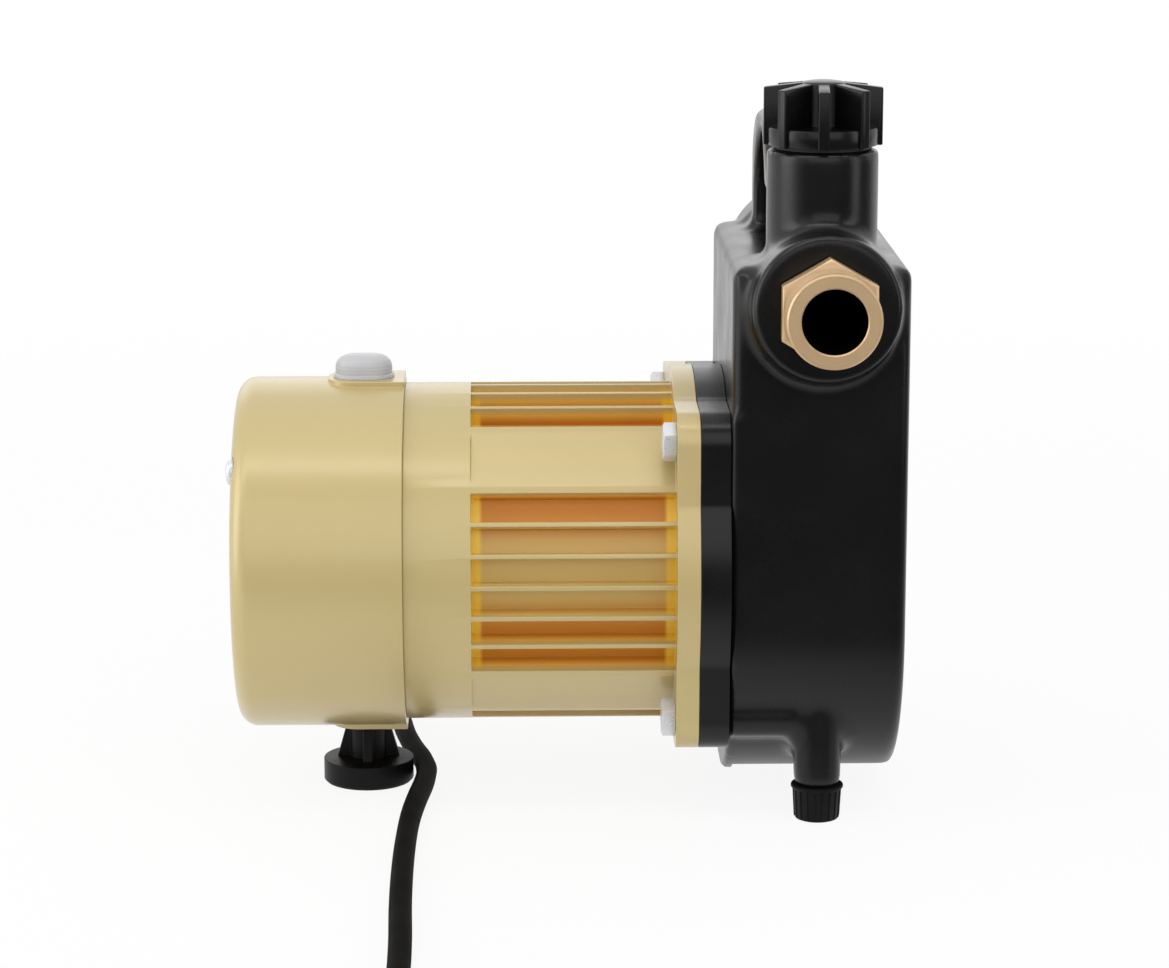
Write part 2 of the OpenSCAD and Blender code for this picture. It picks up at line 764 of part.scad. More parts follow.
// The handle from the side: a long arc from the tower up to the crest, a short one down to
// the far leg, and the round-topped finger gap below them
module handle_side() {
    difference() {
        union() {
            intersection() {
                translate([handle_bend_y, handle_top - handle_long_r]) circle(r = handle_long_r);
                translate([-tower_y, tower_top - 14])
                    square([handle_bend_y + tower_y, handle_top - tower_top + 15]);
            }
            translate([handle_bend_y, handle_top - handle_bend_r]) circle(r = handle_bend_r);
            translate([handle_bend_y, casing_top])
                square([handle_bend_r, handle_top - handle_bend_r - casing_top]);
        }
        translate([gap_y, gap_top - gap_r]) circle(r = gap_r);
        translate([gap_y - gap_r, 0]) square([2 * gap_r, gap_top - gap_r]);
    }
}

// The handle is what its side, its front and its plan share, so that its edges are rounded
module handle_strap() {
    w = handle_w / 2;
    r = handle_edge;
    intersection() {
        translate([x_port - w, 0, axis_h]) rotate([90, 0, 90]) linear_extrude(2 * w) handle_side();
        translate([x_port, 2 * handle_far, axis_h]) rotate([90, 0, 0])
            linear_extrude(4 * handle_far) {
                translate([-w, 0]) square([2 * w, handle_top - r]);
                translate([-w + r, 0]) square([2 * (w - r), handle_top]);
                for (s = [-1, 1]) translate([s * (w - r), handle_top - r]) circle(r = r);
            }
        translate([x_port, 0, axis_h + casing_top]) linear_extrude(handle_top - casing_top + 1) {
            translate([-w, -tower_y]) square([2 * w, tower_y + handle_far - r]);
            translate([-w + r, -tower_y]) square([2 * (w - r), tower_y + handle_far]);
            for (s = [-1, 1]) translate([s * (w - r), handle_far - r]) circle(r = r);
        }
    }
}

module pump_leg(s) {
    translate([x_port, s * leg_y, leg_cap_h]) difference() {
        rotate([s * leg_splay, 0, 0]) translate([0, 0, -3]) cylinder(r1 = leg_r, r2 = leg_r + 1, h = 34);
        translate([0, 0, -20]) cube([60, 60, 40], center = true);
    }
    translate([x_port, s * leg_y, 3.4]) cylinder(r = 4.8, h = leg_cap_h);
}

module casing_cavities() {
    // Impeller chamber, open at the back
    on_axis(x_casing - 1) cylinder(r = chamber_r, h = x_wall - x_casing + 1);
    // Suction chamber at the front
    on_axis(x_wall - 0.01) linear_extrude(inner_front - (x_wall - x_casing)) difference() {
        casing_outline(casing_wall);
        translate([-divider_t / 2, upper_floor - divider_t]) square([100, 100]);
        translate([-100, inner_top]) square([200, 50]);
    }
    // Upper suction chamber on the near side, and discharge chamber on the far side
    for (s = [-1, 1]) translate([x_casing + casing_wall, s < 0 ? -inner_half : divider_t / 2,
        axis_h + upper_floor])
        cube([inner_front - casing_wall, inner_half - divider_t / 2, inner_top - upper_floor]);
    // Throat from the impeller chamber up to the discharge chamber
    translate([x_casing + casing_wall + 1, 8, axis_h + 25])
        cube([x_diffuser - x_casing - casing_wall - 1, 24, upper_floor - 24]);
}

// The round boss that carries a port, with a chamfered face
module port_boss(s) {
    translate([x_port, 0, axis_h + port_h]) rotate([s < 0 ? 90 : -90, 0, 0]) {
        translate([0, 0, boss_root]) cylinder(r = boss_r, h = boss_face - boss_root - boss_chamfer);
        translate([0, 0, boss_face - boss_chamfer])
            cylinder(r1 = boss_r, r2 = boss_r - boss_chamfer, h = boss_chamfer);
    }
}

module pump_casing() {
    color([0.12, 0.12, 0.12]) difference() {
        union() {
            difference() {
                union() {
                    casing_block();
                    on_axis(x_casing) at_lower_bolts() cylinder(r = bolt_boss_r, h = bolt_boss_len);
                    for (s = [-1, 1]) port_boss(s);
                    translate([x_port, -tower_y, axis_h + port_h])
                        cylinder(r = tower_r, h = tower_top - port_h);
                    for (s = [-1, 1]) pump_leg(s);
                }
                casing_cavities();
            }
            along_y(x_port, -inner_half - 1, axis_h + port_h) cylinder(r = valve_tube_r, h = 13);
        }
        for (s = [-1, 1]) along_y(x_port, s < 0 ? -boss_face - 1 : inner_half - 10, axis_h + port_h)
            cylinder(r = tail_hole_r, h = boss_face - inner_half + 14);
        translate([x_port, -tower_y, axis_h + port_h + 6]) cylinder(r = fill_r, h = 60);
        on_axis(x_casing - 1) at_bolts() cylinder(r = m6_r + run, h = m6_len - flange_t - plate_t + 3);
    }
}

// The strap stands on the casing's flat top and ends at the fill tower
module carry_handle() {
    color([0.12, 0.12, 0.12]) difference() {
        handle_strap();
        translate([x_port, -tower_y, axis_h + port_h]) cylinder(r = tower_r, h = tower_top);
    }
}

// A hose fitting on the near side (s = -1) or the far side (s = 1)
module fitting(s) {
    washer = 1.6;
    translate([x_port, 0, axis_h + port_h]) rotate([s < 0 ? 90 : -90, 0, 0]) difference() {
        union() {
            translate([0, 0, boss_face - tail_len]) cylinder(r = tail_r, h = tail_len + washer + 1);
            translate([0, 0, boss_face + washer]) rotate([0, 0, 30])
                hexagon(fitting_af, fitting_hex - washer);
            translate([0, 0, boss_face + fitting_hex - 1]) cylinder(r = hose_r - 1.2, h = 3);
            translate([0, 0, boss_face + fitting_hex + 1]) cylinder(r = hose_r, h = hose_len - 1);
        }
        translate([0, 0, boss_face - tail_len - 1]) cylinder(r = fitting_bore, h = 60);
    }
}

module inlet_fitting() {
    color("burlywood") fitting(-1);
}

module outlet_fitting() {
    color("burlywood") fitting(1);
}

module fitting_washers() {
    color("dimgray") for (s = [-1, 1]) translate([x_port, 0, axis_h + port_h])
        rotate([s < 0 ? 90 : -90, 0, 0]) translate([0, 0, boss_face + 0.05])
            ring(fitting_af / 2 - 0.5, tail_r + 0.1, 1.5);
}

// Places children on the inlet axis, with local Z pointing into the pump
module at_valve() {
    translate([x_port, -valve_y, axis_h + port_h]) rotate([-90, 0, 0]) children();
}

module valve_pin_bar(r, len) {
    translate([-len / 2, -valve_pin_up, valve_pin_z]) rotate([0, 90, 0]) cylinder(r = r, h = len);
}

module check_seat() {
    color("silver") at_valve() difference() {
        union() {
            translate([0, 0, -3]) cylinder(r = tail_r, h = 3);
            for (s = [-1, 1]) translate([s * (valve_barrel + lug_t + seat) / 2 - lug_t / 2,
                -valve_pin_up - 1.1, -0.5]) cube([lug_t, 2.2, 3.4]);
        }
        translate([0, 0, -4]) cylinder(r = 7.8, h = 5);
        valve_pin_bar(valve_pin_r + run, 12);
    }
}

module check_flap() {
    color("black") at_valve() difference() {
        union() {
            translate([0, 0, seat]) intersection() {
                cylinder(r = flap_r, h = flap_t);
                translate([-flap_r, -flap_flat, 0]) cube([2 * flap_r, 2 * flap_r, flap_t]);
            }
            valve_pin_bar(1.3, valve_barrel);
            translate([-valve_barrel / 2, -valve_pin_up, 0.6]) cube([valve_barrel, 4, flap_t - 0.4]);
        }
        valve_pin_bar(valve_pin_r + run, 12);
    }
}

module check_pin() {
    color("silver") at_valve() valve_pin_bar(valve_pin_r, valve_barrel + 2 * lug_t + seat);
}

// The fill cap: a plug and a skirt, and above them a hub with fins that slope down outwards
module fill_cap() {
    skirt_z = tower_top + cap_gap;
    fin_z = skirt_z + skirt_h;
    fin_h = tower_top + knob_h - fin_z;
    color("black") translate([x_port, -tower_y, axis_h]) {
        translate([0, 0, tower_top - plug_depth]) cylinder(r = fill_r - run, h = plug_depth + cap_gap + 1);
        translate([0, 0, skirt_z]) cylinder(r = skirt_r, h = skirt_h);
        translate([0, 0, fin_z - 1]) cylinder(r = hub_r, h = fin_h + 1);
        intersection() {
            translate([0, 0, skirt_z]) linear_extrude(fin_h + skirt_h) knob_section();
            translate([0, 0, fin_z + fin_h - fin_slope - 0.4 - 40 * fin_slope])
                cylinder(r1 = knob_r + 40 * (knob_r - hub_r), r2 = hub_r, h = 41 * fin_slope);
        }
    }
}

module knob_section() {
    circle(r = hub_r);
    intersection() {
        circle(r = knob_r);
        for (k = [0 : rib_count / 2 - 1]) rotate(180 * k / (rib_count / 2) + 4)
            square([3 * knob_r, rib_w], center = true);
    }
}

module fill_cap_gasket() {
    color("dimgray") translate([x_port, -tower_y, axis_h + tower_top + 0.05])
        ring(tower_r - 2, fill_r + 0.1, 0.8);
}

module flange_bolts() {
    color("gainsboro") on_axis(x_flange) at_bolts() {
        translate([0, 0, -m6_head - 0.05]) rotate(30) hexagon(m6_af, m6_head);
        translate([0, 0, -1]) cylinder(r = m6_r, h = m6_len + 1);
    }
}

module cover_screws() {
    color("gainsboro") on_axis(x_cover + head_sink) at_screws() {
        translate([0, 0, -m4_head - 0.05]) cylinder(r = m4_head_r, h = m4_head);
        translate([0, 0, -1]) cylinder(r = m4_r, h = cover_len - head_sink + screw_grip);
    }
}

module motor_foot() {
    column_h = axis_h - pad_z - seat;
    web = 2.7;
    color([0.12, 0.12, 0.12]) translate([x_foot, 0, 0]) difference() {
        union() {
            cylinder(r = foot_r - 0.6, h = 0.8);
            translate([0, 0, 0.6]) cylinder(r = foot_r, h = foot_disc - 0.6);
            translate([0, 0, foot_disc - 0.01]) cylinder(r1 = foot_r - 0.8, r2 = foot_r - 3, h = 0.6);
            cylinder(r = 5.6, h = column_h);
            for (a = [0 : 90 : 270]) rotate([90, 0, a]) translate([0, 0, -web / 2])
                linear_extrude(web) polygon([[0, foot_disc - 1], [9.8, foot_disc - 1], [6.4, column_h],
                    [0, column_h]]);
        }
        translate([0, 0, foot_screw_tip - 1]) cylinder(r = m4_r + run, h = 2 * reach);
    }
}

module foot_screw() {
    color("gainsboro") {
        translate([x_foot, 0, foot_screw_z]) cylinder(r = m4_head_r, h = m4_head);
        translate([x_foot, 0, foot_screw_tip]) cylinder(r = m4_r, h = foot_screw_z - foot_screw_tip + 1);
    }
}

module leg_caps() {
    color([0.08, 0.08, 0.08]) for (s = [-1, 1]) translate([x_port, s * leg_y, 0]) difference() {
        union() {
            cylinder(r1 = leg_r - 0.1, r2 = leg_r + 0.6, h = leg_cap_h - 0.6);
            translate([0, 0, leg_cap_h - 1.4]) cylinder(r = leg_r + 0.9, h = 1.2);
        }
        translate([0, 0, 3.2]) cylinder(r = 5, h = 20);
    }
}

// Places children at the middle of the switch, with Z = 0 on the flat pad
module at_switch() {
    translate([x_foot, 0, axis_h + pad_z]) children();
}

module switch_body() {
    color("black") at_switch() difference() {
        union() {
            translate([-switch_l / 2, -switch_w / 2, -switch_depth])
                cube([switch_l, switch_w, switch_depth + 0.05]);
            translate([0, 0, 0.05]) linear_extrude(bezel_t) oval(bezel_l, bezel_w);
        }
        translate([-rocker_l / 2 - 0.4, -rocker_w / 2 - 0.3, -5])
            cube([rocker_l + 0.8, rocker_w + 0.6, 12]);
        along_y(0, -10, -rocker_drop) cylinder(r = rocker_pin_r + run, h = 20);
    }
}

module switch_rocker() {
    color("dimgray") at_switch() translate([0, 0, -rocker_drop]) rotate([0, -rocker_tilt, 0]) difference() {
        intersection() {
            translate([-rocker_l / 2, -rocker_w / 2, -1.8]) cube([rocker_l, rocker_w, 8]);
            along_y(0, -10, 0) cylinder(r = rocker_l / 2, h = 20);
            difference() {
                translate([-20, -20, -20]) cube([40, 40, 20 + 4.6]);
                along_y(0, -10, 4.6 + 17.2) cylinder(r = 18, h = 20);
            }
        }
        along_y(0, -10, 0) cylinder(r = rocker_pin_r + run, h = 20);
    }
}

module switch_pin() {
    color("silver") at_switch() along_y(0, -switch_w / 2 + 0.3, -rocker_drop)
        cylinder(r = rocker_pin_r, h = switch_w - 0.6);
}

// An oval with straight sides and round ends
module oval(l, w) {
    square([l - w, w], center = true);
    for (s = [-1, 1]) translate([s * (l - w) / 2, 0]) circle(r = w / 2);
}

// A rounded oval dome, h high
module oval_dome(l, w, h) {
    edge = min(2.2, h / 2);
    hull() for (s = [-1, 1]) {
        translate([s * (l - w) / 2, 0, 0]) cylinder(r = w / 2, h = h * 0.45, $fn = 32);
        translate([s * (l - w) / 2, 0, h - edge])
            cylinder(r1 = w / 2 - 0.5, r2 = w / 2 - 2.2, h = edge, $fn = 32);
    }
}

module switch_boot() {
    color("gainsboro") at_switch() translate([0, 0, 0.05]) difference() {
        oval_dome(boot_l, boot_w, boot_h);
        translate([0, 0, -1])
            oval_dome(boot_l - 2 * boot_wall, boot_w - 2 * boot_wall, boot_h - boot_wall + 1);
    }
}

module strain_relief() {
    seat_y = cover_r + 0.6;
    exit_y = route[0][1];
    color([0.1, 0.1, 0.1]) {
        along_y(gland_x, seat_y + 0.05, gland_z) cylinder(r = gland_r, h = 2);
        along_y(gland_x, seat_y + 2, gland_z)
            cylinder(r1 = gland_r - 0.8, r2 = cord_r + 1, h = exit_y - seat_y - 2);
        along_y(gland_x, seat_y - 8, gland_z) cylinder(r = gland_r - 1.5, h = 9);
    }
}

module cord() {
    color("black") swept_bar(route, cord_r, cord_sides, cord_rings);
}

module cord_tail() {
    color("black") swept_bar(tail_route, cord_r, cord_sides, 4);
}

// The wound length lies flat, four turns wide and two high
module cord_coil() {
    color("black") translate([coil_x, coil_y, 0.1])
        ring(coil_out_r, coil_mid_r - coil_half_w, coil_h);
}

// Places children at the end of the cord, with local Z running on into the plug
module at_plug() {
    translate(plug_end) rotate([90, 0, 90]) children();
}

module plug_body() {
    color("black") at_plug() {
        translate([0, 0, 0.1]) cylinder(r1 = cord_r + 1.2, r2 = 8, h = plug_neck);
        intersection() {
            translate([-plug_w / 2, -plug_h / 2, plug_neck]) cube([plug_w, plug_h, plug_len]);
            translate([0, 0, plug_neck]) cylinder(r1 = 11, r2 = 22, h = plug_len);
            cylinder(r = plug_w / 2 + 2.5, h = 2 * plug_len);
        }
    }
}

module plug_blades() {
    color("silver") at_plug() translate([0, 0, plug_neck + plug_len + 0.05]) {
        for (s = [-1, 1]) translate([s * blade_gap / 2 - 0.8, 0.8, 0]) cube([1.6, 6.4, blade_len]);
        translate([0, 4 - ground_drop, 0]) cylinder(r = 2.4, h = blade_len + 1);
    }
}

motor_housing();
end_cover();
rear_bracket();
stator_core();
windings();
shaft();
rotor_core();
rotor_end_rings();
front_bearing_race();
rear_bearing_race();
bearing_balls();
bearing_inner_rings();
run_capacitor();
capacitor_clip();
seal_plate();
casing_seal();
seal_seat();
seal_head();
impeller();
impeller_nut();
diffuser();
pump_casing();
carry_handle();
inlet_fitting();
outlet_fitting();
fitting_washers();
check_seat();
check_flap();
check_pin();
fill_cap();
fill_cap_gasket();
flange_bolts();
cover_screws();
motor_foot();
foot_screw();
leg_caps();
switch_body();
switch_rocker();
switch_pin();
switch_boot();
strain_relief();
cord();
cord_coil();
cord_tail();
plug_body();
plug_blades();
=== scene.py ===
import bpy
import math
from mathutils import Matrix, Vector


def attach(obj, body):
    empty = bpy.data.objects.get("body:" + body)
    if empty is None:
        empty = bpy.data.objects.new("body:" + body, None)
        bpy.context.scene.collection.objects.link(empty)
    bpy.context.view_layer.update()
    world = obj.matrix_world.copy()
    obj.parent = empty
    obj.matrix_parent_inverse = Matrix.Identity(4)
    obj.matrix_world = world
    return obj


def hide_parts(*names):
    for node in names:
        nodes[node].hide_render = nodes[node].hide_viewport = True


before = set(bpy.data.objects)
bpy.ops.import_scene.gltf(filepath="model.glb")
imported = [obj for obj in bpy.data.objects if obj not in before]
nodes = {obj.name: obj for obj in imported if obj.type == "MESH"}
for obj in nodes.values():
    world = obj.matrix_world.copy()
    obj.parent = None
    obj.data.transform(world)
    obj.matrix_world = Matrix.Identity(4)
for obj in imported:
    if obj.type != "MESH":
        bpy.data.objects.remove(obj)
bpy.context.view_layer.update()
print("frame loaded:", len(nodes), "nodes")


# Shared places in millimetres, as in the part's source

axisHeight = 71.5
portX, portZ = 73.7, 153.5
towerY, towerRim = -33.0, 196.5
legY = 42.5
boltOffset = 41.012
flangeCorners = [(side, level) for side in (-1, 1) for level in (-1, 1)]


# Selecting, turning and finishing pieces; all their measures are millimetres

def deselectAll():
    if bpy.context.object and bpy.context.object.mode != "OBJECT":
        bpy.ops.object.mode_set(mode="OBJECT")
    bpy.ops.object.select_all(action="DESELECT")


def pick(obj, *others):
    deselectAll()
    for one in (obj,) + others:
        one.select_set(True)
    bpy.context.view_layer.objects.active = obj


def editMode(obj, kind="VERT"):
    pick(obj)
    bpy.ops.object.mode_set(mode="EDIT")
    bpy.ops.mesh.select_mode(type=kind)


def objectMode():
    bpy.ops.object.mode_set(mode="OBJECT")


def editAll(obj, kind="VERT"):
    editMode(obj, kind)
    bpy.ops.mesh.select_all(action="SELECT")


def selectVerts(obj, test):
    # leaves edit mode, marks the vertices that pass the test in millimetres, and comes back
    objectMode()
    for part in (*obj.data.polygons, *obj.data.edges):
        part.select = False
    for vert in obj.data.vertices:
        vert.select = bool(test(vert.co * 1000))
    bpy.ops.object.mode_set(mode="EDIT")


def metres(values):
    return [value / 1000 for value in values]


def moveVerts(obj, test, step):
    selectVerts(obj, test)
    bpy.ops.transform.translate(value=metres(step))
    objectMode()


def scaleVerts(obj, test, share, centre):
    selectVerts(obj, test)
    bpy.ops.transform.resize(value=share, center_override=metres(centre))
    objectMode()


def applyModifiers(obj):
    pick(obj)
    for modifier in list(obj.modifiers):
        bpy.ops.object.modifier_apply(modifier=modifier.name)


def modify(obj, kind, **settings):
    # a modifier with its settings, applied at once
    modifier = obj.modifiers.new(kind.lower(), kind)
    for label, value in settings.items():
        setattr(modifier, label, value)
    applyModifiers(obj)


def bevelEdges(obj, width, segments=2, angle=30, clamp=True):
    modify(obj, "BEVEL", width=width / 1000, segments=segments, limit_method="ANGLE",
           angle_limit=math.radians(angle), use_clamp_overlap=clamp)


def smoothShade(obj, angle):
    pick(obj)
    bpy.ops.object.shade_smooth_by_angle(angle=math.radians(angle))


def settle(obj):
    # the place and turn go into the mesh, so that the object sits at the origin
    pick(obj)
    bpy.ops.object.transform_apply(location=True, rotation=True, scale=True)


def cleanMesh(obj, gap=0.01):
    editAll(obj)
    bpy.ops.mesh.remove_doubles(threshold=gap / 1000)
    bpy.ops.mesh.normals_make_consistent(inside=False)
    objectMode()


def joinPieces(name, parts):
    pick(parts[0], *parts[1:])
    bpy.ops.object.join()
    whole = bpy.context.object
    whole.name = name
    whole.data.name = name
    return whole


def copyPiece(obj, name):
    twin = obj.copy()
    twin.data = obj.data.copy()
    twin.name = name
    bpy.context.scene.collection.objects.link(twin)
    return twin


def dress(obj, material):
    obj.data.materials.clear()
    obj.data.materials.append(material)


def turnedPart(name, profile, sides):
    # a profile of (radius, height) is drawn up from a circle by extruding and scaling its rim
    profile = [metres(point) for point in profile]
    radius, height = profile[0]
    deselectAll()
    bpy.ops.mesh.primitive_circle_add(vertices=sides, radius=radius, fill_type="NGON",
                                      location=(0, 0, height))
    obj = bpy.context.object
    obj.name = name
    settle(obj)
    editAll(obj)
    for nextRadius, nextHeight in profile[1:]:
        bpy.ops.mesh.extrude_region_move(
            TRANSFORM_OT_translate={"value": (0, 0, nextHeight - height)})
        if nextRadius != radius:
            share = nextRadius / radius
            bpy.ops.transform.resize(value=(share, share, 1), center_override=(0, 0, nextHeight))
        radius, height = nextRadius, nextHeight
    objectMode()
    cleanMesh(obj)
    return obj


def standAlong(obj, place, axis):
    # stands local Z along a row axis at a place, and puts that into the mesh
    turns = {"+x": (0, math.pi / 2, 0), "-x": (0, -math.pi / 2, 0),
             "+y": (-math.pi / 2, 0, 0), "-y": (math.pi / 2, 0, 0), "+z": (0, 0, 0)}
    obj.rotation_euler = turns[axis]
    obj.location = metres(place)
    settle(obj)


def roundBar(name, radius, low, high, place, axis, sides=48):
    bar = turnedPart(name, [(radius, low), (radius, high)], sides)
    standAlong(bar, place, axis)
    return bar


def addPiece(obj, body, slotName, finish, *replaced):
    dress(obj, materials[finish])
    if replaced:
        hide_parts(*replaced)
    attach(obj, body)
    print(obj.name, len(obj.data.polygons), "faces")


def boxPart(name, low, high):
    # a cube is added at its place and pulled out to its size in edit mode
    low, high = metres(low), metres(high)
    middle = [(a + b) / 2 for a, b in zip(low, high)]
    deselectAll()
    bpy.ops.mesh.primitive_cube_add(size=1, location=middle)
    obj = bpy.context.object
    obj.name = name
    settle(obj)
    editAll(obj)
    bpy.ops.transform.resize(value=[b - a for a, b in zip(low, high)], center_override=middle)
    objectMode()
    return obj


def combine(obj, tool, operation):
    modify(obj, "BOOLEAN", operation=operation, solver="EXACT", object=tool)
    bpy.data.objects.remove(tool, do_unlink=True)
    return obj


def turnBy(obj, degrees):
    editAll(obj)
    bpy.ops.transform.rotate(value=math.radians(degrees), orient_axis="Z",
                             center_override=(0, 0, 0))
    objectMode()


def shiftBy(obj, step):
    editAll(obj)
    bpy.ops.transform.translate(value=metres(step))
    objectMode()


def copiesAt(name, obj, steps):
    # one copy for each step, joined into a single piece
    copies = []
    for step in steps:
        copies.append(copyPiece(obj, "copy"))
        shiftBy(copies[-1], step)
    bpy.data.objects.remove(obj, do_unlink=True)
    return joinPieces(name, copies)


def hexBlock(name, acrossFlats, low, high, topRadius):
    # a hexagon prism whose top corners are turned off by a cone of 30 degrees
    corner = acrossFlats / math.sqrt(3)
    outer = corner + 0.4
    slope = math.tan(math.radians(30))
    block = turnedPart(name, [(corner, low), (corner, high)], 6)
    cone = turnedPart("cone", [(outer, low - 1), (outer, high - (outer - topRadius) * slope),
                               (topRadius - 1, high + slope)], 96)
    return combine(block, cone, "INTERSECT")


def mergedCopy(nodeName, name):
    twin = copyPiece(nodes[nodeName], name)
    cleanMesh(twin, 0.002)
    return twin


# Camera at the photograph's place: 12 degrees above the motor axis, square to it

camera = {"place": (-0.0176, -1.0572, 0.3163), "lens": 110.9, "pitch": 78.0, "yaw": -1.3}

cameraData = bpy.data.cameras.new("photoCamera")
cameraData.lens = camera["lens"]
cameraData.sensor_width = 36
cameraData.clip_start = 0.05
cameraData.dof.use_dof = False
cameraObject = bpy.data.objects.new("photoCamera", cameraData)
cameraObject.location = camera["place"]
cameraObject.rotation_euler = (math.radians(camera["pitch"]), 0, math.radians(camera["yaw"]))
bpy.context.scene.collection.objects.link(cameraObject)
bpy.context.scene.camera = cameraObject


# Studio: white for the camera, pale for reflections with one dark side, and soft lamps

studio = {"worldLevel": 0.66, "floorWhite": 0.9, "floorNear": 0.35, "floorFar": 1.1,
          "darkSide": (0.5, -0.87, 0), "darkFrom": 0.1, "darkTo": 0.6, "darkLevel": 0.12,
          "glossLevel": 0.85, "floorGloss": 0.95, "floorLit": 0.02, "floorDark": 0.3}

# place, size, power and aim of each lamp
lamps = {
    "topBox": ((0, 0.05, 0.95), (1.0, 0.8), 0.45, (0, 0, 0.09)),
    "leftBox": ((-0.85, -0.15, 0.35), (0.5, 0.7), 2.0, (0, 0, 0.09)),
    "rightBox": ((0.85, -0.35, 0.35), (0.25, 0.7), 1.0, (0, 0, 0.09)),
    "stripBox": ((-0.06, -0.37, 0.99), (1.4, 0.16), 2.0, (-0.06, 0, 0.09)),
    "frontBox": ((0.1, -1.1, 0.62), (1.5, 0.9), 3.8, (0, 0, 0.09)),
    "backBox": ((0, 0.9, 0.5), (1.2, 0.6), 1.2, (0, 0, 0.09)),
}


# Shader nodes, their plain values and their links

def newNode(parts, kind, values=None, **settings):
    node = parts.new("ShaderNode" + kind)
    for label, value in settings.items():
        setattr(node, label, value)
    for label, value in (values or {}).items():
        node.inputs[label].default_value = value
    return node


def rangeNode(parts, low, high, start, end, kind="SMOOTHSTEP"):
    return newNode(parts, "MapRange", {"From Min": low, "From Max": high, "To Min": start,
                                       "To Max": end}, interpolation_type=kind)


def wire(links, *rows):
    # a row names a node and its output, then a node and its input
    for source, output, target, socket in rows:
        links.new(source.outputs[output], target.inputs[socket])


def makeWorld():
    # white to the camera and through clear parts, pale to glossy rays but for one dark side
    world = bpy.data.worlds.new("studio")
    bpy.context.scene.world = world
    world.use_nodes = True
    parts, links = world.node_tree.nodes, world.node_tree.links
    parts.clear()
    out, aim, path = [newNode(parts, kind) for kind in ("OutputWorld", "TexCoord", "LightPath")]
    soft, gloss, white = [newNode(parts, "Background", {"Color": (1, 1, 1, 1), "Strength": level})
                          for level in (studio["worldLevel"], studio["glossLevel"], 1)]
    front = newNode(parts, "VectorMath", {1: studio["darkSide"]}, operation="DOT_PRODUCT")
    dark = rangeNode(parts, studio["darkFrom"], studio["darkTo"], studio["glossLevel"],
                     studio["darkLevel"])
    glossMix, lastMix = newNode(parts, "MixShader"), newNode(parts, "MixShader")
    seen = newNode(parts, "Math", operation="MAXIMUM")
    wire(links, (aim, "Generated", front, 0), (front, "Value", dark, "Value"),
         (dark, "Result", gloss, "Strength"), (path, "Is Glossy Ray", glossMix, "Fac"),
         (soft, 0, glossMix, 1), (gloss, 0, glossMix, 2), (path, "Is Camera Ray", seen, 0),
         (path, "Is Transmission Ray", seen, 1), (seen, 0, lastMix, "Fac"),
         (glossMix, 0, lastMix, 1), (white, 0, lastMix, 2), (lastMix, 0, out, "Surface"))


makeWorld()


def softBox(name, place, size, power, aim):
    lamp = bpy.data.lights.new(name, "AREA")
    lamp.shape = "RECTANGLE"
    lamp.size, lamp.size_y = size
    lamp.energy = power
    obj = bpy.data.objects.new(name, lamp)
    obj.location = place
    obj.rotation_euler = (Vector(aim) - Vector(place)).to_track_quat("-Z", "Y").to_euler()
    bpy.context.scene.collection.objects.link(obj)


for name, values in lamps.items():
    softBox(name, *values)


def makeFloorMaterial():
    # the floor keeps the pump's shadow, fades to the white of the world further out, and
    # shows glossy rays the same dark side as the world
    material = bpy.data.materials.new("paleFloor")
    material.use_nodes = True
    parts, links = material.node_tree.nodes, material.node_tree.links
    parts.clear()
    out, place, path = [newNode(parts, kind)
                        for kind in ("OutputMaterial", "TexCoord", "LightPath")]
    matt = newNode(parts, "BsdfDiffuse", {"Color": (0.88, 0.88, 0.88, 1)})
    glow, mirror = [newNode(parts, "Emission", {"Color": (1, 1, 1, 1), "Strength": 1})
                    for k in range(2)]
    share = newNode(parts, "Math", operation="MULTIPLY")
    reach = newNode(parts, "VectorMath", operation="LENGTH")
    fade = rangeNode(parts, studio["floorNear"], studio["floorFar"], studio["floorWhite"], 1)
    side = newNode(parts, "VectorMath", {1: studio["darkSide"]}, operation="DOT_PRODUCT")
    dark = rangeNode(parts, studio["floorLit"], studio["floorDark"], studio["floorGloss"],
                     studio["darkLevel"])
    seenMix, lastMix = newNode(parts, "MixShader"), newNode(parts, "MixShader")
    wire(links, (place, "Object", reach, 0), (reach, "Value", fade, "Value"),
         (fade, "Result", share, 1), (path, "Is Camera Ray", share, 0),
         (share, 0, seenMix, "Fac"), (matt, 0, seenMix, 1), (glow, 0, seenMix, 2),
         (place, "Object", side, 0), (side, "Value", dark, "Value"),
         (dark, "Result", mirror, "Strength"), (path, "Is Glossy Ray", lastMix, "Fac"),
         (seenMix, 0, lastMix, 1), (mirror, 0, lastMix, 2), (lastMix, 0, out, "Surface"))
    return material


deselectAll()
bpy.ops.mesh.primitive_plane_add(size=6, location=(0, 0, -0.0001))
floor = bpy.context.object
floor.name = "floor"
settle(floor)
dress(floor, makeFloorMaterial())
bpy.context.scene.view_settings.view_transform = "Standard"
print("camera and studio ready")


# Shared effects as node groups

def newGroup(name, inputs, outputs):
    group = bpy.data.node_groups.new(name, "ShaderNodeTree")
    for label, kind, value in inputs:
        socket = group.interface.new_socket(name=label, in_out="INPUT",
                                            socket_type="NodeSocket" + kind)
        if value is not None:
            socket.default_value = value
    for label, kind in outputs:
        group.interface.new_socket(name=label, in_out="OUTPUT", socket_type="NodeSocket" + kind)
    start = group.nodes.new("NodeGroupInput")
    end = group.nodes.new("NodeGroupOutput")
    return group, group.nodes, group.links, start, end


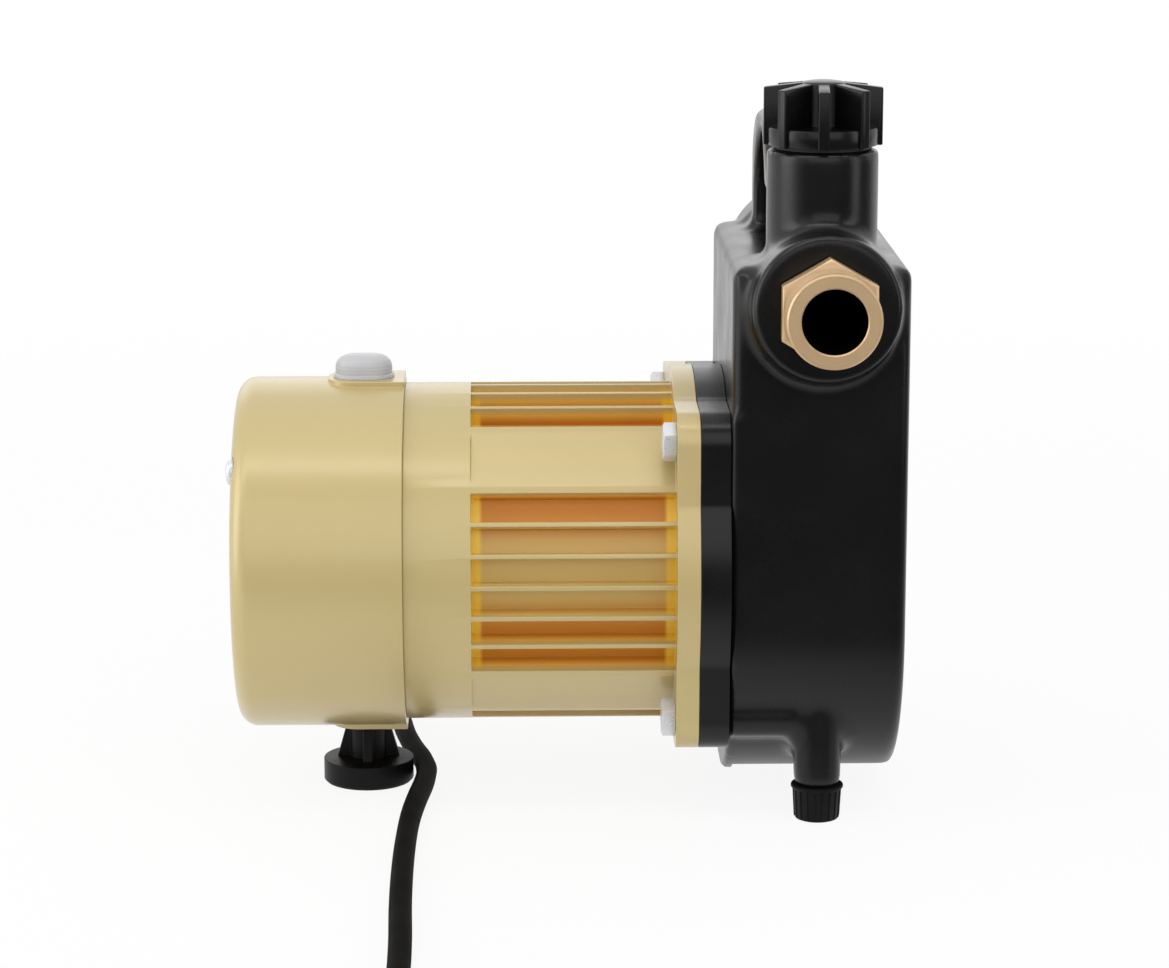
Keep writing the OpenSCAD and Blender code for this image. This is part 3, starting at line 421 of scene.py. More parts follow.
def mouldedGrainGroup():
    # the fine spark-eroded texture of moulded plastic: small rounded pits over a finer haze
    group, parts, links, start, end = newGroup(
        "mouldedGrain", [("Vector", "Vector", None), ("Scale", "Float", 2600.0)],
        [("Height", "Float"), ("Mask", "Float")])
    pits = newNode(parts, "TexVoronoi", feature="SMOOTH_F1")
    haze = newNode(parts, "TexNoise", {"Detail": 3})
    broad = newNode(parts, "TexNoise", {"Scale": 60, "Detail": 4})
    double = newNode(parts, "Math", {1: 1.9}, operation="MULTIPLY")
    blend = newNode(parts, "Math", {1: 0.5}, operation="MULTIPLY_ADD")
    wire(links, (start, "Vector", pits, "Vector"), (start, "Vector", haze, "Vector"),
         (start, "Vector", broad, "Vector"), (start, "Scale", pits, "Scale"),
         (start, "Scale", double, 0), (double, 0, haze, "Scale"), (haze, "Fac", blend, 0),
         (pits, "Distance", blend, 2), (blend, 0, end, "Height"), (broad, "Fac", end, "Mask"))
    return group


def mottleGroup():
    # slow drift between two colours
    group, parts, links, start, end = newGroup(
        "surfaceMottle",
        [("Vector", "Vector", None), ("Scale", "Float", 30.0), ("Contrast", "Float", 0.5),
         ("Base", "Color", (0.5, 0.5, 0.5, 1)), ("Drift", "Color", (0.4, 0.4, 0.4, 1))],
        [("Color", "Color"), ("Mask", "Float")])
    slow = newNode(parts, "TexNoise", {"Detail": 5, "Roughness": 0.6})
    span = rangeNode(parts, 0.3, 0.7, 0, 1, "LINEAR")
    share = newNode(parts, "Math", operation="MULTIPLY")
    mix = newNode(parts, "Mix", data_type="RGBA")
    wire(links, (start, "Vector", slow, "Vector"), (start, "Scale", slow, "Scale"),
         (slow, "Fac", span, "Value"), (span, "Result", share, 0),
         (start, "Contrast", share, 1), (share, 0, mix, 0), (start, "Base", mix, 6),
         (start, "Drift", mix, 7), (mix, 2, end, "Color"), (share, 0, end, "Mask"))
    return group


def fineLinesGroup():
    # turning or rolling marks: noise stretched across the given direction
    group, parts, links, start, end = newGroup(
        "fineLines", [("Vector", "Vector", None), ("Stretch", "Vector", (1, 1, 1)),
                      ("Scale", "Float", 900.0)],
        [("Height", "Float"), ("Mask", "Float")])
    stretch = newNode(parts, "VectorMath", operation="MULTIPLY")
    lines = newNode(parts, "TexNoise", {"Detail": 3})
    wire(links, (start, "Vector", stretch, 0), (start, "Stretch", stretch, 1),
         (stretch, 0, lines, "Vector"), (start, "Scale", lines, "Scale"),
         (lines, "Fac", end, "Height"), (lines, "Fac", end, "Mask"))
    return group


mouldedGrain = mouldedGrainGroup()
surfaceMottle = mottleGroup()
fineLines = fineLinesGroup()


# Materials; a canvas is a material's nodes, its links and its shader

def newMaterial(name, **shader):
    material = bpy.data.materials.new(name)
    material.use_nodes = True
    tree = material.node_tree
    principled = tree.nodes["Principled BSDF"]
    for socket, value in shader.items():
        principled.inputs[socket.replace("_", " ")].default_value = value
    return material, (tree.nodes, tree.links, principled), newNode(tree.nodes, "TexCoord")


def placeGroup(canvas, group, source, output="Object", **values):
    parts, links = canvas[:2]
    node = newNode(parts, "Group", values, node_tree=group)
    wire(links, (source, output, node, "Vector"))
    return node


def colourFrom(canvas, where, scale, contrast, base, drift):
    links, principled = canvas[1:]
    mottle = placeGroup(canvas, surfaceMottle, where, Scale=scale, Contrast=contrast,
                        Base=(*base, 1), Drift=(*drift, 1))
    wire(links, (mottle, "Color", principled, "Base Color"))
    return mottle


def bumpFrom(canvas, source, output, distance, strength=1.0):
    parts, links, principled = canvas
    bump = newNode(parts, "Bump", {"Strength": strength, "Distance": distance})
    wire(links, (source, output, bump, "Height"), (bump, "Normal", principled, "Normal"))


def roughnessFrom(canvas, source, output, low, high):
    parts, links, principled = canvas
    span = rangeNode(parts, 0.3, 0.7, low, high, "LINEAR")
    wire(links, (source, output, span, "Value"), (span, "Result", principled, "Roughness"))


def mouldedPlastic(name, base, drift, scale, depth, low, high, specular):
    material, canvas, where = newMaterial(name, Specular_IOR_Level=specular)
    grain = placeGroup(canvas, mouldedGrain, where, Scale=scale)
    colourFrom(canvas, where, 45.0, 0.8, base, drift)
    roughnessFrom(canvas, grain, "Mask", low, high)
    bumpFrom(canvas, grain, "Height", depth)
    return material


def turnedMetal(name, base, drift, stretch, low, high, depth, scale, metallic):
    material, canvas, where = newMaterial(name, Metallic=metallic)
    lines = placeGroup(canvas, fineLines, where, Stretch=stretch, Scale=scale)
    colourFrom(canvas, where, 80.0, 0.6, base, drift)
    roughnessFrom(canvas, lines, "Mask", low, high)
    bumpFrom(canvas, lines, "Height", depth)
    return material


def paintedGold(name):
    # metallic paint: a fine flake, a slight orange peel and a clear coat
    material, canvas, where = newMaterial(name, Metallic=0.16, Coat_Weight=0.75,
                                          Coat_Roughness=0.22, Coat_IOR=1.5)
    parts, links = canvas[:2]
    mottle = colourFrom(canvas, where, 9.0, 0.5, (0.560, 0.445, 0.195), (0.535, 0.422, 0.180))
    flake = newNode(parts, "TexVoronoi", {"Scale": 5200})
    peel = newNode(parts, "TexNoise", {"Scale": 420, "Detail": 2})
    wire(links, (where, "Object", flake, "Vector"), (where, "Object", peel, "Vector"))
    roughnessFrom(canvas, flake, "Distance", 0.36, 0.44)
    bumpFrom(canvas, peel, "Fac", 0.00002, 0.4)
    return material, canvas, where, mottle


def pocketedGold(name):
    # painted shade darkens the pockets to their floors, with painted bounce light up the walls;
    # painted light lifts the floors near axis level, and a painted highlight brightens the ends
    material, canvas, where, mottle = paintedGold(name)
    parts, links, principled = canvas
    pocket = goldPockets
    centred = newNode(parts, "Mapping", {"Location": (0, 0, -axisHeight / 1000),
                                         "Scale": (0, 1, 1)})
    reach = newNode(parts, "VectorMath", operation="LENGTH")
    # painted shade: darker towards the pocket floors, orange bounce light higher up the walls
    depth = rangeNode(parts, pocket["floorRadius"], pocket["rimRadius"], 0, 1)
    shades = newNode(parts, "ValToRGB")
    for element, colour, position in zip(shades.color_ramp.elements, ("pocketShadeColour", "wallBounceColour"),
                                         pocket["shadeAt"]):
        element.color, element.position = pocket[colour], position
    edge = rangeNode(parts, *pocket["edge"], 0, 1, "LINEAR")
    outward = newNode(parts, "VectorMath", operation="NORMALIZE")
    level, along = newNode(parts, "SeparateXYZ"), newNode(parts, "SeparateXYZ")
    offMiddle, fromMiddle = [newNode(parts, "Math", {1: pocket[label]}, operation="SUBTRACT")
                             for label in ("paintedLightMiddle", "middle")]
    spread, endReach = [newNode(parts, "Math", operation="ABSOLUTE") for k in range(2)]
    # painted light on pocket floors near the axis's level, and a painted highlight on the end walls
    paintedLightMask = rangeNode(parts, pocket["paintedLightNear"], pocket["paintedLightFar"], pocket["paintedLightShare"], 0)
    endHighlightMask = rangeNode(parts, pocket["endHighlightFrom"], pocket["endHighlightTo"], 0, 1)
    paintedLightMix, endHighlightMix = [newNode(parts, "Mix", {7: pocket[label]}, data_type="RGBA")
                        for label in ("paintedLightColour", "endHighlightColour")]
    blend = newNode(parts, "Mix", data_type="RGBA")
    coat = rangeNode(parts, 0, 1, *pocket["coat"], "LINEAR")
    wire(links, (where, "Object", centred, "Vector"), (centred, "Vector", reach, 0),
         (reach, "Value", depth, "Value"), (depth, "Result", shades, "Fac"),
         (depth, "Result", edge, "Value"), (centred, "Vector", outward, 0),
         (outward, "Vector", level, 0), (level, "Z", offMiddle, 0),
         (offMiddle, 0, spread, 0), (spread, 0, paintedLightMask, "Value"),
         (where, "Object", along, 0), (along, "X", fromMiddle, 0),
         (fromMiddle, 0, endReach, 0), (endReach, 0, endHighlightMask, "Value"),
         (paintedLightMask, "Result", paintedLightMix, 0), (shades, "Color", paintedLightMix, 6),
         (endHighlightMask, "Result", endHighlightMix, 0), (paintedLightMix, 2, endHighlightMix, 6),
         (edge, "Result", blend, 0), (endHighlightMix, 2, blend, 6), (mottle, "Color", blend, 7),
         (blend, 2, principled, "Base Color"), (edge, "Result", coat, "Value"),
         (coat, "Result", principled, "Coat Weight"))
    return material


def clearSilicone():
    material, canvas, where = newMaterial("clearSilicone", Transmission_Weight=0.45, IOR=1.41,
                                          Specular_IOR_Level=0.5)
    colourFrom(canvas, where, 120.0, 0.5, (0.80, 0.80, 0.82), (0.72, 0.73, 0.75))
    grain = placeGroup(canvas, mouldedGrain, where, Scale=900.0)
    roughnessFrom(canvas, grain, "Mask", 0.28, 0.42)
    bumpFrom(canvas, grain, "Height", 0.00002)
    return material


def laminatedSteel():
    # stacked sheets seen from the side, with a varnish haze
    material, canvas, where = newMaterial("laminatedSteel", Metallic=0.9)
    parts, links = canvas[:2]
    sheets = newNode(parts, "TexWave", {"Scale": 320, "Distortion": 0.4}, wave_type="BANDS",
                     bands_direction="X")
    wire(links, (where, "Object", sheets, "Vector"))
    colourFrom(canvas, where, 70.0, 0.7, (0.16, 0.16, 0.17), (0.10, 0.09, 0.08))
    roughnessFrom(canvas, sheets, "Fac", 0.38, 0.55)
    bumpFrom(canvas, sheets, "Fac", 0.00006)
    return material


def enamelledWire():
    # wire turns run round the motor axis
    material, canvas, where = newMaterial("enamelledWire", Metallic=0.8, Coat_Weight=0.4)
    parts, links = canvas[:2]
    turns = newNode(parts, "TexWave", {"Scale": 260, "Distortion": 1.5, "Detail Scale": 60},
                    wave_type="RINGS", rings_direction="X")
    centred = newNode(parts, "Mapping", {"Location": (0, 0, -axisHeight / 1000)})
    wire(links, (where, "Object", centred, "Vector"), (centred, "Vector", turns, "Vector"))
    colourFrom(canvas, where, 140.0, 0.8, (0.50, 0.20, 0.08), (0.34, 0.11, 0.04))
    roughnessFrom(canvas, turns, "Fac", 0.25, 0.42)
    bumpFrom(canvas, turns, "Fac", 0.00025)
    return material


def portBrass():
    # turning marks run round the port axis, on the face as rings and on the sides as lines
    material, canvas, where = newMaterial("brass", Metallic=0.5)
    parts, links = canvas[:2]
    centred = newNode(parts, "Mapping", {"Location": (-portX / 1000, 0, -portZ / 1000)})
    flat = newNode(parts, "VectorMath", {1: (1, 0, 1)}, operation="MULTIPLY")
    radius = newNode(parts, "VectorMath", operation="LENGTH")
    split, turned = newNode(parts, "SeparateXYZ"), newNode(parts, "CombineXYZ")
    wire(links, (where, "Object", centred, "Vector"), (centred, "Vector", flat, 0),
         (flat, "Vector", radius, 0), (centred, "Vector", split, 0),
         (radius, "Value", turned, "X"), (split, "Y", turned, "Y"))
    marks = placeGroup(canvas, fineLines, turned, "Vector", Scale=2600.0)
    colourFrom(canvas, where, 60.0, 0.5, (0.70, 0.49, 0.28), (0.64, 0.44, 0.24))
    roughnessFrom(canvas, marks, "Mask", 0.26, 0.36)
    bumpFrom(canvas, marks, "Height", 0.000006)
    return material


# the pockets' places in metres, as the shader reads them
goldPockets = {"floorRadius": 0.0440, "rimRadius": 0.0504, "edge": (0.7, 0.98),
               "coat": (0.1, 0.75), "shadeAt": (0.12, 0.62),
               # these colours are painted light and shade: pocket shade, wall bounce, level light,
               # end highlights
               "pocketShadeColour": (0.60, 0.235, 0.022, 1), "wallBounceColour": (0.80, 0.50, 0.09, 1),
               "paintedLightColour": (0.67, 0.50, 0.17, 1), "paintedLightMiddle": 0.07, "paintedLightNear": 0.12,
               "paintedLightFar": 0.36, "paintedLightShare": 0.85, "middle": 0.00225, "endHighlightFrom": 0.0262,
               "endHighlightTo": 0.0276, "endHighlightColour": (0.90, 0.62, 0.07, 1)}

# base, drift, grain scale and depth, roughness from and to, specular level
plastics = {
    "blackPlastic": ((0.0034, 0.0034, 0.0036), (0.0050, 0.0050, 0.0052), 2400.0, 0.000016,
                     0.22, 0.30, 0.42),
    "capPlastic": ((0.0030, 0.0030, 0.0032), (0.0042, 0.0042, 0.0044), 4200.0, 0.000008,
                   0.20, 0.28, 0.4),
    "footPlastic": ((0.0032, 0.0032, 0.0034), (0.0046, 0.0046, 0.0048), 4000.0, 0.00002,
                    0.32, 0.45, 0.16),
    "switchPlastic": ((0.016, 0.016, 0.017), (0.022, 0.022, 0.023), 5200.0, 0.00001,
                      0.35, 0.45, 0.5),
    "softRubber": ((0.018, 0.018, 0.018), (0.030, 0.029, 0.028), 3000.0, 0.00003,
                   0.6, 0.8, 0.5),
    "footRubber": ((0.0030, 0.0030, 0.0030), (0.0048, 0.0048, 0.0048), 2800.0, 0.00004,
                   0.45, 0.60, 0.16),
    "cordJacket": ((0.0070, 0.0070, 0.0073), (0.0095, 0.0095, 0.0098), 3600.0, 0.00003,
                   0.6, 0.7, 0.03),
    "boreShade": ((0.0008, 0.0008, 0.0008), (0.0012, 0.0012, 0.0012), 2600.0, 0.00002,
                  0.85, 0.95, 0.02),
    "capacitorSleeve": ((0.020, 0.020, 0.022), (0.028, 0.028, 0.030), 2600.0, 0.00002,
                        0.28, 0.40, 0.5),
    "groundCeramic": ((0.78, 0.75, 0.68), (0.72, 0.69, 0.62), 3000.0, 0.00001,
                      0.22, 0.34, 0.5),
}

# base, drift, stretch of the marks, roughness from and to, mark depth and scale, metallic
metals = {
    "castAlloy": ((0.55, 0.55, 0.56), (0.46, 0.46, 0.47), (1, 1, 1), 0.42, 0.6, 0.00005,
                  500.0, 1),
    "plainSteel": ((0.55, 0.56, 0.58), (0.47, 0.48, 0.50), (8, 1, 1), 0.22, 0.38, 0.00001,
                   900.0, 1),
    "bearingSteel": ((0.62, 0.63, 0.65), (0.56, 0.57, 0.59), (8, 1, 1), 0.10, 0.2, 0.000004,
                     900.0, 1),
    "zincSteel": ((0.78, 0.79, 0.82), (0.70, 0.72, 0.75), (1, 1, 1), 0.26, 0.42, 0.00001,
                  1600.0, 0.45),
    "pumpBrass": ((0.72, 0.50, 0.22), (0.60, 0.38, 0.15), (1, 1, 1), 0.35, 0.5, 0.00004,
                  600.0, 1),
    "plugNickel": ((0.66, 0.66, 0.67), (0.58, 0.58, 0.59), (1, 8, 8), 0.18, 0.3, 0.00001,
                   900.0, 1),
}

materials = {"goldCover": paintedGold("goldCover")[0], "goldHousing": pocketedGold("goldHousing"),
             "clearSilicone": clearSilicone(), "laminatedSteel": laminatedSteel(),
             "enamelledWire": enamelledWire(), "brass": portBrass()}
for finish, values in plastics.items():
    materials[finish] = mouldedPlastic(finish, *values)
for finish, values in metals.items():
    materials[finish] = turnedMetal(finish, *values)

# finishes of the nodes that keep their own mesh
nodeFinishes = {
    "castAlloy": ["rear_bracket", "rotor_end_rings"],
    "laminatedSteel": ["stator_core", "rotor_core"], "enamelledWire": ["windings"],
    "plainSteel": ["shaft", "capacitor_clip", "impeller_nut", "check_pin", "switch_pin"],
    "bearingSteel": ["front_bearing_race", "rear_bearing_race", "bearing_balls",
                     "bearing_inner_rings"],
    "capacitorSleeve": ["run_capacitor"], "groundCeramic": ["seal_seat"],
    "blackPlastic": ["diffuser"], "pumpBrass": ["impeller"],
    "softRubber": ["casing_seal", "seal_head", "fitting_washers", "fill_cap_gasket"],
    # the check seat and flap take the bore's painted shade instead of their own colour
    "boreShade": ["check_seat", "check_flap"], "zincSteel": ["foot_screw"],
    "switchPlastic": ["switch_body", "switch_rocker"],
}
for finish, names in nodeFinishes.items():
    for nodeName in names:
        dress(nodes[nodeName], materials[finish])
print("materials on the nodes")


# Mains cord: the same points as in the part's source, then the coil's turns and the end

cord = {
    "radius": 3.2,
    "route": [(-58, 73, 62), (-58, 81.5, 62), (-57.9, 90, 62), (-57.6, 101.2, 59.8),
              (-57.2, 110.7, 53.4), (-56.8, 117, 43.9), (-56.4, 119.3, 32.8), (-56, 117, 21.7),
              (-55.5, 110.7, 12.2), (-55, 101.2, 5.8), (-54.2, 90, 3.5), (-53.2, 72, 3.4),
              (-51, 55, 3.4), (-49, 38, 3.4), (-46, 21, 3.4), (-43, 8, 3.4), (-41.7, -3, 3.4),
              (-42.2, -16, 3.4), (-44, -33, 3.4), (-45.5, -52, 3.4), (-46.3, -76, 3.4),
              (-46.5, -104, 3.4), (-46.2, -132, 3.4), (-45.5, -160, 3.4), (-45.4, -188, 3.4),
              (-46.8, -202, 3.4), (-50.2, -215, 3.4), (-54.4, -227, 3.4), (-57.2, -239, 3.4),
              (-58, -251, 3.4)],
    "tail": [(10.7, 9.8), (16, 10.2), (22, 12), (27, 12.6), (30, 12.6)],
    "coilCentre": (-13.4, -275.09),
    "outerTurn": 44.6,
    "turnPitch": 6.4,
    "turns": 6.25,
    "inward": 3.1,
    "layers": (3.3, 9.8),
}


def smoothPoint(points, t):
    last = len(points) - 1
    i = min(int(t), last - 1)
    u = t - i
    a, b = Vector(points[max(i - 1, 0)]), Vector(points[i])
    c, d = Vector(points[i + 1]), Vector(points[min(i + 2, last)])
    return 0.5 * (2 * b + (c - a) * u + (2 * a - 5 * b + 4 * c - d) * u * u
                  + (3 * b - a - 3 * c + d) * u * u * u)


def coilPoint(turn):
    # in along the floor, up one layer at the inside, and out again on top
    inward, pitch = cord["inward"], cord["turnPitch"]
    radius = cord["outerTurn"] - pitch * min(turn, inward, cord["turns"] - turn)
    climb = min(max((turn - inward + 0.15) / 0.4, 0), 1)
    climb = climb * climb * (3 - 2 * climb)
    low, high = cord["layers"]
    angle = math.pi + 2 * math.pi * turn
    centre = cord["coilCentre"]
    return Vector((centre[0] + radius * math.cos(angle), centre[1] + radius * math.sin(angle),
                   low + (high - low) * climb))


def cordPath():
    route = cord["route"]
    steps = 4 * (len(route) - 1)
    points = [smoothPoint(route, k / 4) for k in range(steps)]
    points.append(Vector(route[-1]))
    samples = int(cord["turns"] * 40)
    points += [coilPoint(cord["turns"] * k / samples) for k in range(samples + 1)]
    tail = [(x, cord["coilCentre"][1] - cord["outerTurn"], z) for x, z in cord["tail"]]
    points += [smoothPoint(tail, k / 3) for k in range(3 * (len(tail) - 1))]
    points.append(Vector(tail[-1]))
    return [p / 1000 for p in points]


def makeCord():
    points = cordPath()
    curve = bpy.data.curves.new("mainsCord", "CURVE")
    curve.dimensions = "3D"
    curve.bevel_depth = cord["radius"] / 1000
    curve.bevel_resolution = 3
    curve.use_fill_caps = True
    spline = curve.splines.new("POLY")
    spline.points.add(len(points) - 1)
    for point, place in zip(spline.points, points):
        point.co = (*place, 1)
    obj = bpy.data.objects.new("mainsCord", curve)
    bpy.context.scene.collection.objects.link(obj)
    length = sum((b - a).length for a, b in zip(points, points[1:]))
    return obj, points, length


mainsCord, cordPoints, cordLength = makeCord()
mainsCord.data.materials.append(materials["cordJacket"])
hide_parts("cord", "cord_coil", "cord_tail")
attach(mainsCord, "pump")
print("cord of", round(cordLength, 3), "m")


# Hose fittings: hexagon, neck, a helical thread, and a near-black sleeve in the bore that is
# painted shade

hoseFitting = {"tailFrom": 45.0, "tailRadius": 12.0, "hexFrom": 60.6, "hexTo": 66.0,
               "acrossFlats": 27.0, "hexTurned": 13.3, "threadFrom": 67.6,
               "face": 79.5, "rootRadius": 12.35, "crestRadius": 13.4, "faceRadius": 12.9,
               "boreRadius": 9.25, "shadeSleeveIn": 8.98, "pitch": 2.209, "turns": 4.9}


def threadRidge(fitting):
    # one section of the ridge is drawn and then turned up by the screw modifier
    foot, crest = fitting["rootRadius"] - 0.4, fitting["crestRadius"]
    low, pitch, turns = fitting["threadFrom"], fitting["pitch"], fitting["turns"]
    deselectAll()
    bpy.ops.mesh.primitive_plane_add(size=1, location=(0, 0, 0))
    ridge = bpy.context.object
    ridge.name = "ridge"
    section = [(foot, low - 0.42 * pitch), (crest, low - 0.09 * pitch),
               (foot, low + 0.42 * pitch), (crest, low + 0.09 * pitch)]
    for vert, (across, up) in zip(ridge.data.vertices, section):
        vert.co = metres((across, 0, up))
    editAll(ridge, "FACE")
    bpy.ops.mesh.delete(type="ONLY_FACE")
    objectMode()
    steps = int(56 * turns)
    modify(ridge, "SCREW", angle=2 * math.pi * turns, screw_offset=pitch * turns / 1000,
           steps=steps, render_steps=steps)
    editMode(ridge, "EDGE")
    bpy.ops.mesh.select_all(action="DESELECT")
    bpy.ops.mesh.select_non_manifold(extend=False, use_wire=False, use_boundary=True,
                                     use_multi_face=False, use_non_contiguous=False,
                                     use_verts=False)
    bpy.ops.mesh.fill_holes(sides=4)
    objectMode()
    cleanMesh(ridge)
    return ridge


def openRing(obj):
    # the two end faces of a turned ring go, and their rims are bridged
    editMode(obj, "FACE")
    bpy.ops.mesh.select_all(action="DESELECT")
    objectMode()
    for face in obj.data.polygons:
        face.select = len(face.vertices) > 4
    bpy.ops.object.mode_set(mode="EDIT")
    bpy.ops.mesh.delete(type="FACE")
    bpy.ops.mesh.select_mode(type="EDGE")
    bpy.ops.mesh.select_all(action="DESELECT")
    bpy.ops.mesh.select_non_manifold()
    bpy.ops.mesh.bridge_edge_loops()
    objectMode()
    cleanMesh(obj)


def makeFitting(direction, name, nodeName):
    fitting = hoseFitting
    tail, root, crest = fitting["tailRadius"], fitting["rootRadius"], fitting["crestRadius"]
    face, bore, start = fitting["face"], fitting["boreRadius"], fitting["tailFrom"]
    hexTo, place = fitting["hexTo"], (portX, 0, portZ)
    body = turnedPart(name, [(tail - 0.8, start), (tail, start + 0.8), (tail, hexTo + 0.4),
                             (root, hexTo + 0.9), (root, face - 1)], 96)
    mouth = turnedPart("mouth", [(root - 0.3, face - 1.5), (crest, face - 1.5),
                                 (crest, face - 0.6), (fitting["faceRadius"], face)], 96)
    hexagon = hexBlock("hexagon", fitting["acrossFlats"], fitting["hexFrom"], hexTo,
                       fitting["hexTurned"])
    bevelEdges(hexagon, 0.2, 2, 40)
    drill = turnedPart("drill", [(bore, start - 1), (bore, face - 0.35),
                                 (bore + 0.7, face + 0.35)], 96)
    for tool in (hexagon, mouth, threadRidge(fitting)):
        combine(body, tool, "UNION")
    combine(body, drill, "DIFFERENCE")
    standAlong(body, place, direction)
    cleanMesh(body, 0.001)
    smoothShade(body, 32)
    addPiece(body, "pump", "brass", "brass", nodeName)
    # a near-black sleeve down the bore is painted shade, standing in for the shadow inside the port
    outside, inside = bore - 0.03, fitting["shadeSleeveIn"]
    shadeSleeve = turnedPart(name + "ShadeSleeve", [(outside, start + 0.2), (outside, face - 0.7),
                                          (inside, face - 0.7), (inside, start + 0.2)], 72)
    openRing(shadeSleeve)
    standAlong(shadeSleeve, place, direction)
    smoothShade(shadeSleeve, 40)
    addPiece(shadeSleeve, "pump", "soft_rubber", "boreShade")


makeFitting("-y", "inletHoseFitting", "inlet_fitting")
makeFitting("+y", "outletHoseFitting", "outlet_fitting")


# Fill cap: hub with a crowned top, eight sloping fins, a skirt and a threaded plug

fillKnob = {"gap": 0.9, "height": 19.3, "hub": 6.4, "reach": 17.0, "finFrom": 6.1,
            "finWidth": 3.4, "fins": 8, "slope": 1.3, "skirtRadius": 15.9, "skirtHeight": 5.4,
            "plugRadius": 9.9, "plugDepth": 14.6, "turn": 4, "pitch": 3.0, "turns": 3.4}


def knobFin(angle):
    knob = fillKnob
    half, top = knob["finWidth"] / 2, towerRim + knob["height"] - 0.7
    fin = boxPart("fin", (knob["finFrom"], -half, towerRim + knob["gap"]),
                  (knob["reach"], half, top))
    moveVerts(fin, lambda co: co.x > 10 and co.z > top - 1, (0, 0, -knob["slope"]))
    scaleVerts(fin, lambda co: co.x > 10, (1, 0.94, 1), (knob["reach"], 0, 0))
    bevelEdges(fin, 0.45, 3)
    turnBy(fin, angle)
    return fin


def makeFillCap():
    knob = fillKnob
    base, top = towerRim + knob["gap"], towerRim + knob["height"]
    skirtTop, end = base + knob["skirtHeight"], towerRim - knob["plugDepth"]
    radius, hub, core = knob["skirtRadius"], knob["hub"], knob["plugRadius"] - 0.9
    body = turnedPart("fillCapKnob", [
        (radius - 0.9, base), (radius - 0.25, base + 0.15), (radius, base + 0.6),
        (radius, skirtTop - 0.7), (radius - 0.25, skirtTop - 0.2), (radius - 0.8, skirtTop),
        (hub + 0.9, skirtTop), (hub + 0.25, skirtTop + 0.25), (hub, skirtTop + 0.9),
        (hub, top - 1.1), (hub - 0.2, top - 0.75), (hub - 0.8, top - 0.45),
        (hub * 0.55, top - 0.12), (hub * 0.2, top - 0.01)], 72)
    for k in range(knob["fins"]):
        combine(body, knobFin(knob["turn"] + 360 / knob["fins"] * k), "UNION")
    plug = turnedPart("plug", [(core - 0.7, end), (core, end + 0.7), (core, base + 0.3)], 60)
    ridge = threadRidge({"rootRadius": core, "crestRadius": knob["plugRadius"],
                         "threadFrom": end + 2.2, "pitch": knob["pitch"],
                         "turns": knob["turns"]})
    whole = joinPieces("fillCapKnob", [body, plug, ridge])
    shiftBy(whole, (portX, towerY, 0))
    smoothShade(whole, 38)
    addPiece(whole, "fill_cap", "cap_plastic", "capPlastic", "fill_cap")


makeFillCap()


# Flange bolts: one head is made and copied to the four corners

flangeBolt = {"headFace": 27.85, "headBack": 31.85, "acrossFlats": 10.0, "turnedOff": 4.75,
              "shankRadius": 3.0, "shankEnd": 61.4, "turn": 30}


def makeBolts():
    # the head stands on the flange, and its shank runs on through the plate
    bolt = flangeBolt
    head = hexBlock("head", bolt["acrossFlats"], 0, bolt["headBack"] - bolt["headFace"],
                    bolt["turnedOff"])
    turnBy(head, bolt["turn"])
    bevelEdges(head, 0.12, 2, 40)
    end, radius = bolt["headBack"] - bolt["shankEnd"], bolt["shankRadius"]
    shank = turnedPart("shank", [(radius - 0.6, end), (radius, end + 0.6), (radius, 0.5)], 32)
    combine(head, shank, "UNION")
    standAlong(head, (bolt["headBack"], 0, axisHeight), "-x")
    smoothShade(head, 35)
    whole = copiesAt("hexBolts", head, [(0, side * boltOffset, level * boltOffset)
                                        for side, level in flangeCorners])
    addPiece(whole, "pump", "zinc_steel", "zincSteel", "flange_bolts")


makeBolts()


# Moulded casing: the two nodes of the real moulding become one skin with soft fillets,
# and the chambers, ports and holes are cut back into it

casing = {"back": 47.4, "front": 98.4, "arcHeight": 56.0, "halfWidth": 51.0,
          "blockTop": 162.2, "bossFace": 59.0, "passage": 13.5, "passageFrom": 40.0,
          "chamber": 43.5, "chamberEnd": 62.0, "towerBore": 12.0, "towerFloor": 140.0,
          "boltHole": 4.0, "boltHoleEnd": 66.0, "skin": 2.4, "voxel": 0.95, "fillet": 2.6,
          "smoothing": 5, "legEnd": 10.8, "pegRadius": 4.8, "pegFrom": 3.4}


def casingCore(past):
    # fills the inside of the walls; past is how far it comes out of the openings
    back, front, arc = casing["back"], casing["front"] - casing["skin"] + 0.2, casing["arcHeight"]
    inner, low = casing["halfWidth"] - casing["skin"], back + 2
    parts = [roundBar("core", inner, low, front, (0, 0, arc), "+x", 96),
             boxPart("core", (low, -inner, arc), (front, inner, casing["blockTop"])),
             roundBar("core", casing["chamber"], back - past, casing["chamberEnd"],
                      (0, 0, axisHeight), "+x", 96),
             roundBar("core", casing["towerBore"], casing["towerFloor"], towerRim + past,
                      (portX, towerY, 0), "+z")]
    for direction in ("-y", "+y"):
        parts.append(roundBar("core", casing["passage"], casing["passageFrom"],
                              casing["bossFace"] + past, (portX, 0, portZ), direction))
    for side, level in flangeCorners:
        parts.append(roundBar("core", casing["boltHole"], back - past, casing["boltHoleEnd"],
                              (0, side * boltOffset, axisHeight + level * boltOffset), "+x", 24))
    return parts


